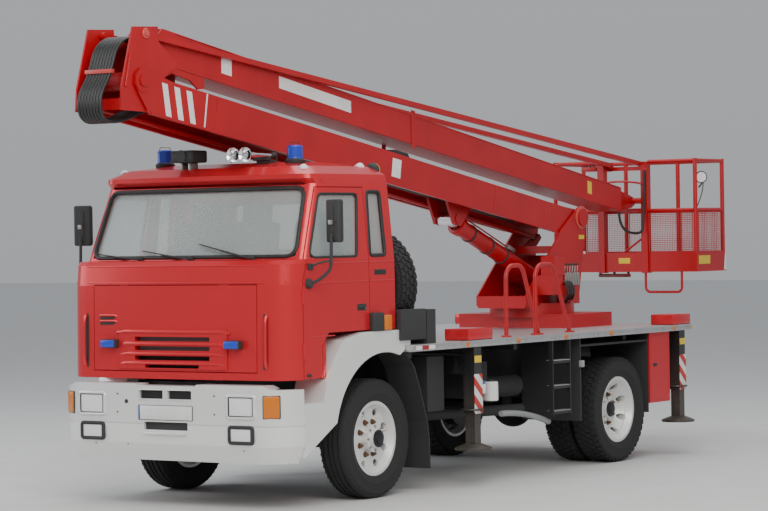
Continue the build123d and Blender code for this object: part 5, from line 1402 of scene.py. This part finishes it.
class TRUCK_OT_booms(Operator):
    """Adds the plates, hazard bands, flanges, lines and cradle of the booms"""
    bl_idname = "truck.booms"
    bl_label = "Boom fittings"

    def execute(self, context):
        lower, upper = [], []
        disc = [(0, 0), (0, 104), (6, 104), (10, 96), (10, 60), (16, 56), (16, 0)]
        for side, _ in SIDES:
            edge, wall = side * (LOWER_SIDE + 1), side * (UPPER_SIDE + 1)
            marks = [corners_on(on_lower, start, start + 66, -215, 28, 84) for start in (5890, 6040, 6190)]
            marks += [corners_on(on_lower, 5772, 5788, -214, 52), corners_on(on_lower, 3050, 3182, -150, 10)]
            lower += paint("plate_white", [plate(edge, mark) for mark in marks])
            lower += paint("boom_paint", [bead([(edge, *on_lower(reach, rise)) for rise in (-205, 50)], 5)
                                          for reach in (620, 1500, 5640)])
            lower += paint("faded_red", turned(disc, (side * LOWER_SIDE, *LOWER_FOOT), (side, 0, 0), 32))
            sign = [on_upper(y, share) for y, share in ((-20, 0.42), (990, 0.38), (990, 0.76), (-20, 0.78))]
            marks = [sign, corners_on(on_upper, -780, -650, 0.30, 0.78)]
            upper += paint("plate_white", [plate(wall, mark) for mark in marks])
            upper += paint("yellow_paint", plate(wall, corners_on(on_upper, 4940, 5020, 0.3, 0.8)))
            for share in (0.02, 0.98):
                flange = [(side * (UPPER_SIDE + 2), *on_upper(-1340 + 6900 * step / 8, share))
                          for step in range(9)]
                upper += paint("boom_paint", bead(flange, 4))
            upper += paint("boom_paint", plate(wall, corners_on(on_upper, 1900, 1960, -0.12, 1.16), 5, 1))
            lines = [(side * 60, *on_lower(reach, -150)) for reach in (700, 2400, 4200, 5900)]
            lower += paint("hose_rubber", [bead([(x + shift, y, z) for x, y, z in lines], 10)
                                           for shift in (0, 30)])
        cradle = slab([(-170, *on_lower(reach, rise)) for reach, rise in
                       ((2800, 60), (3080, 60), (3040, 112), (2840, 112))], (340, 0, 0), 8, 2)
        lower += paint("seal_rubber", cradle)
        finish("lower_boom_fittings", "lower_boom", "body_paint", lower)
        finish("upper_boom_fittings", "upper_boom", "body_paint", upper)
        elbow = []
        for side, _ in SIDES:
            for spot, radius in (((-1860, 3300), 84), ((-1800, 3660), 40)):
                disc = [(0, 0), (0, radius), (8, radius), (12, radius * 0.9), (12, radius * 0.55),
                        (22, radius * 0.5), (22, 0)]
                elbow += paint("faded_red", turned(disc, (side * 226, *spot), (side, 0, 0), 32))
            turns = [2 * pi * step / 6 for step in range(6)]
            elbow += bolts([((side * 238, -1860 + 66 * cos(turn), 3300 + 66 * sin(turn)), (side, 0, 0))
                            for turn in turns], 14, 9)
            gusset = [(-2060, 3250), (-2000, 3500), (-1980, 3500), (-2035, 3250)]
            elbow += paint("boom_paint", plate(side * 227, gusset, 12, 2))
        finish("elbow_fittings", "elbow", "body_paint", elbow)
        return {"FINISHED"}


# Side view of the lift ram: its lower eye and the way it runs.
RAM_FOOT = Vector((4150, 1680))
RAM_RUN = Vector((-0.93392, 0.35748))


class TRUCK_OT_ram(Operator):
    """Adds the valve, pipes and gland of the lift ram"""
    bl_idname = "truck.ram"
    bl_label = "Ram fittings"

    def execute(self, context):
        up = Vector((RAM_RUN.y, -RAM_RUN.x))

        def spot(x, reach, rise):
            return (x, *(RAM_FOOT + RAM_RUN * reach + up * rise))

        pipes = [pipe([spot(x, reach, rise) for reach, rise in
                       ((430, 84), (450, 96), (700, 96), (1260, 96), (1330, 84))], 7) for x in (-24, 24)]
        axis = (0, *RAM_RUN)
        straps = [turned([(-9, 77), (-9, 84), (9, 84), (9, 77)], spot(0, reach, 0), axis, 32)
                  for reach in (600, 860, 1180)]
        valve = slab(
            [spot(-40, reach, rise) for reach, rise in ((430, 78), (560, 78), (560, 122), (430, 122))],
            (80, 0, 0), 5)
        ring = turned([(-20, 60), (-20, 90), (0, 92), (12, 86), (18, 60)], spot(0, 1400, 0), axis, 32)
        parts = paint("boom_paint", pipes) + paint("black_plastic", straps) + paint("bare_steel", valve)
        parts += paint("boom_paint", ring)
        finish("ram_fittings", "lift_barrel", "body_paint", parts)
        return {"FINISHED"}


class TRUCK_OT_jacks(Operator):
    """Adds the covers, striped plates, markers and flanges of the jacks"""
    bl_idname = "truck.jacks"
    bl_label = "Jack fittings"

    def execute(self, context):
        for row, y, y0, y1 in JACKS:
            shell = []
            for side, word in SIDES:
                shell += paint("body_paint", side_block(side, 980, 1221, y0, y1, 1216, 1309, 7))
                flange = turned([(0, 56), (0, 92), (10, 94), (14, 90), (14, 56)], (side * 1160, y, 640),
                                (0, 0, -1), 28)
                shell += paint("black_paint", flange)
                corners = [
                    (side * 1217, *spot)
                    for spot in ((y - 62, 600), (y + 62, 600), (y + 62, 930), (y - 62, 930))]
                stripes = slab(corners, (side * 4, 0, 0))
                shell += paint("jack_bands", stripes)
                marker = turned([(0, 0), (0, 26), (5, 26), (8, 22), (8, 0)], (side * 1218, y - 157, 1182),
                                (side, 0, 0), 24)
                shell += paint("amber_lens", marker)
                shell += paint("yellow_paint", side_block(side, 1217, 1219, y + 150, y + 214, 1168, 1192, 0),
                               side_block(side, 1217, 1219, y - 52, y + 52, 1025, 1083, 0))
                foot = (side * 1160, y, 300)
                dish = turned([(-4, 60), (-4, 152), (0, 156), (14, 156), (18, 150), (50, 66), (50, 50)], foot,
                              (0, 0, 1), 36)
                rib = settle(local(-4, 4, 58, 146, 12, 40, 2, 1), foot, (0, 0, 1))
                finish(f"jack_foot_{row}_{word}", f"{row}_{word}_jack", "jack_paint",
                       paint("black_paint", dish, rib))
            finish(f"jack_covers_{row}", "truck", "body_paint", shell)
        return {"FINISHED"}


# Rear lamps: their inner and outer ends and their lens.
REAR_LAMPS = ((775, 905, "red_lens"), (915, 1000, "amber_lens"), (1008, 1090, "lamp_lens"))


class TRUCK_OT_deck(Operator):
    """Adds the deck's edge, ladder treads, lockers' seams and rear lamps"""
    bl_idname = "truck.deck"
    bl_label = "Deck and side fittings"

    def execute(self, context):
        parts = []
        for side, _ in SIDES:
            rail = side_block(side, 1216, 1223, 294, 5026, 1158, 1210, 2)
            lips = [bead([(side * 1221, 296, z), (side * 1221, 5024, z)], 5) for z in (1162, 1208)]
            parts += paint("bright_alloy", rail, lips)
            for y, colour in ((330, "plate_white"), (520, "plate_white"), (425, "red_lens")):
                parts += paint(colour, side_block(side, 1224, 1226, y, y + 90, 1168, 1202, 0))
            parts += paint("amber_lens", [turned([(0, 0), (0, 22), (10, 20), (14, 0)], (side * 1223, y, 1184),
                                                 (side, 0, 0), 18) for y in (1900, 2700, 3500)])
            door = rounded([(4290, 540), (4618, 540), (4618, 1120), (4290, 1120)], 25, 400)
            parts += paint("body_paint", bead([(side * 1185, y, z) for y, z in door], 4, 2, True))
            parts += paint("black_plastic", side_block(side, 1183, 1188, 4330, 4400, 840, 870, 3))
            for x0, x1, colour in REAR_LAMPS:
                parts += paint(colour, side_block(side, x0, x1, 5028, 5040, 652, 728, 5))
        rungs = [block(1138, 1221, 2490, 2760, z + 24, z + 30, 2) for z in (515, 735, 955)]
        parts += paint("grey_paint", rungs)
        collars = [turned([(0, 18), (0, 44), (8, 44), (12, 40), (12, 20)], (1120, y, 1213), (0, 0, 1), 24)
                   for y in (1872, 2404, 2354, 2932)]
        parts += paint("boom_paint", collars)
        parts += paint("plate_white", block(1180, 1212, 1330, 1390, 760, 840, 6))
        parts += paint("blue_paint", block(1178, 1210, 1332, 1388, 842, 868, 6))
        tank = [(-6, 0), (-6, 62), (0, 66), (150, 66), (156, 62), (156, 0)]
        parts += paint("plate_white", turned(tank, (1110, 1620, 690), (0, 0, 1), 24))
        parts += paint("black_plastic", block(1122, 1180, 200, 555, 1250, 1499, 8),
                       turned([(0, 0), (0, 30), (16, 28), (16, 0)], (1110, 1620, 846), (0, 0, 1), 20))
        parts += paint("grey_paint", pipe([(1090, 1813, 560), (1090, 2200, 560), (1085, 2604, 440)], 26, 2))
        parts += paint("grey_paint", block(1172, 1212, 2990, 3030, 900, 960, 6))
        finish("deck_fittings", "truck", "deck_plate", parts)
        return {"FINISHED"}


TURRET_CENTRE = (0, 4130, 1412)
VALVES = range(3920, 4240, 46)


class TRUCK_OT_turret(Operator):
    """Adds the bolts, rings, ribs, valves and hoses of the turret"""
    bl_idname = "truck.turret"
    bl_label = "Turret fittings"

    def execute(self, context):
        ring = bolts(ring_places(TURRET_CENTRE, (0, 0, 1), 370, 24), 22, 14)
        finish("slewing_bolts", "turret", "axle_iron", ring)
        hoop = [(0, 70), (0, 84), (8, 84), (8, 70)]
        parts = paint(
            "boom_paint", [turned(hoop, (390, 4080, z), (0, 0, 1), 24) for z in range(1456, 1556, 18)])
        disc = [(0, 0), (0, 110), (8, 110), (12, 100), (12, 60), (20, 56), (20, 0)]
        for side, _ in SIDES:
            ribs = [slab([(side * x, 3716, 1442), (side * x, 3716, 1520), (side * x, 3800, 1442)], (10, 0, 0))
                    for x in (60, 130, 200)]
            parts += paint("boom_paint", ribs)
            parts += paint("faded_red", turned(disc, (side * 271, *LOWER_FOOT), (side, 0, 0), 32))
            parts += paint("yellow_paint", plate(side * 272, frame_corners(4560, 4660, 2030, 2070)))
        valves = [block(430, 470, y, y + 34, 1600, 1720, 5) for y in VALVES]
        levers = [rod((450, y + 17, 1720), (462, y + 10, 1790), 6, 8) for y in VALVES]
        knobs = [turned([(-12, 0), (-9, 9), (0, 12), (9, 9), (12, 0)], (462, y + 10, 1796), (0, 0, 1), 12)
                 for y in VALVES]
        parts += paint("bare_steel", valves, levers) + paint("black_plastic", knobs)
        for y in range(3935, 4079, 36):
            parts += paint("hose_rubber", pipe([(470, y, 1640), (520, y, 1600), (500, y + 25, 1480),
                                                (420, y + 65, 1440)], 9))
        for step in range(5):
            low, high = 120 + 22 * step, 20 * step
            parts += paint(
                "hose_rubber",
                pipe(
                    [(low, 4570, 1500), (low, 4690, 1700), (110 + high, 4790, 2050), (90 + high, 4740, 2180)],
                    10))
        parts += paint("plate_white", block(95, 225, 4735, 4765, 1888, 1912, 4))
        finish("turret_fittings", "turret", "body_paint", parts)
        return {"FINISHED"}


class TRUCK_PT_panel(Panel):
    """Lists the truck's pieces in the sidebar"""
    bl_idname = "TRUCK_PT_panel"
    bl_label = "Cherry picker truck"
    bl_space_type = "VIEW_3D"
    bl_region_type = "UI"
    bl_category = "Truck"

    def draw(self, context):
        for group in (context.scene.truck_finishes, context.scene.truck_sizes):
            for name in group.__annotations__:
                self.layout.prop(group, name)
        for piece in PIECES:
            self.layout.operator(piece.bl_idname)


PIECES = (TRUCK_OT_stage, TRUCK_OT_dressing, TRUCK_OT_tyres, TRUCK_OT_wheels, TRUCK_OT_seals, TRUCK_OT_wipers,
          TRUCK_OT_front_trim, TRUCK_OT_lamps, TRUCK_OT_bumper_trim, TRUCK_OT_mirrors, TRUCK_OT_door_trim,
          TRUCK_OT_roof, TRUCK_OT_hoses, TRUCK_OT_seats, TRUCK_OT_basket, TRUCK_OT_booms, TRUCK_OT_ram,
          TRUCK_OT_jacks, TRUCK_OT_deck, TRUCK_OT_turret)
CLASSES = (TruckFinishes, TruckSizes, *PIECES, TRUCK_PT_panel)


def register():
    for kind in CLASSES:
        bpy.utils.register_class(kind)
    bpy.types.Scene.truck_finishes = PointerProperty(type=TruckFinishes)
    bpy.types.Scene.truck_sizes = PointerProperty(type=TruckSizes)


def unregister():
    del bpy.types.Scene.truck_sizes
    del bpy.types.Scene.truck_finishes
    for kind in reversed(CLASSES):
        bpy.utils.unregister_class(kind)


def main():
    register()
    for piece in PIECES:
        group, name = piece.bl_idname.split(".")
        getattr(getattr(bpy.ops, group), name)()


if __name__ == "__main__":
    main()
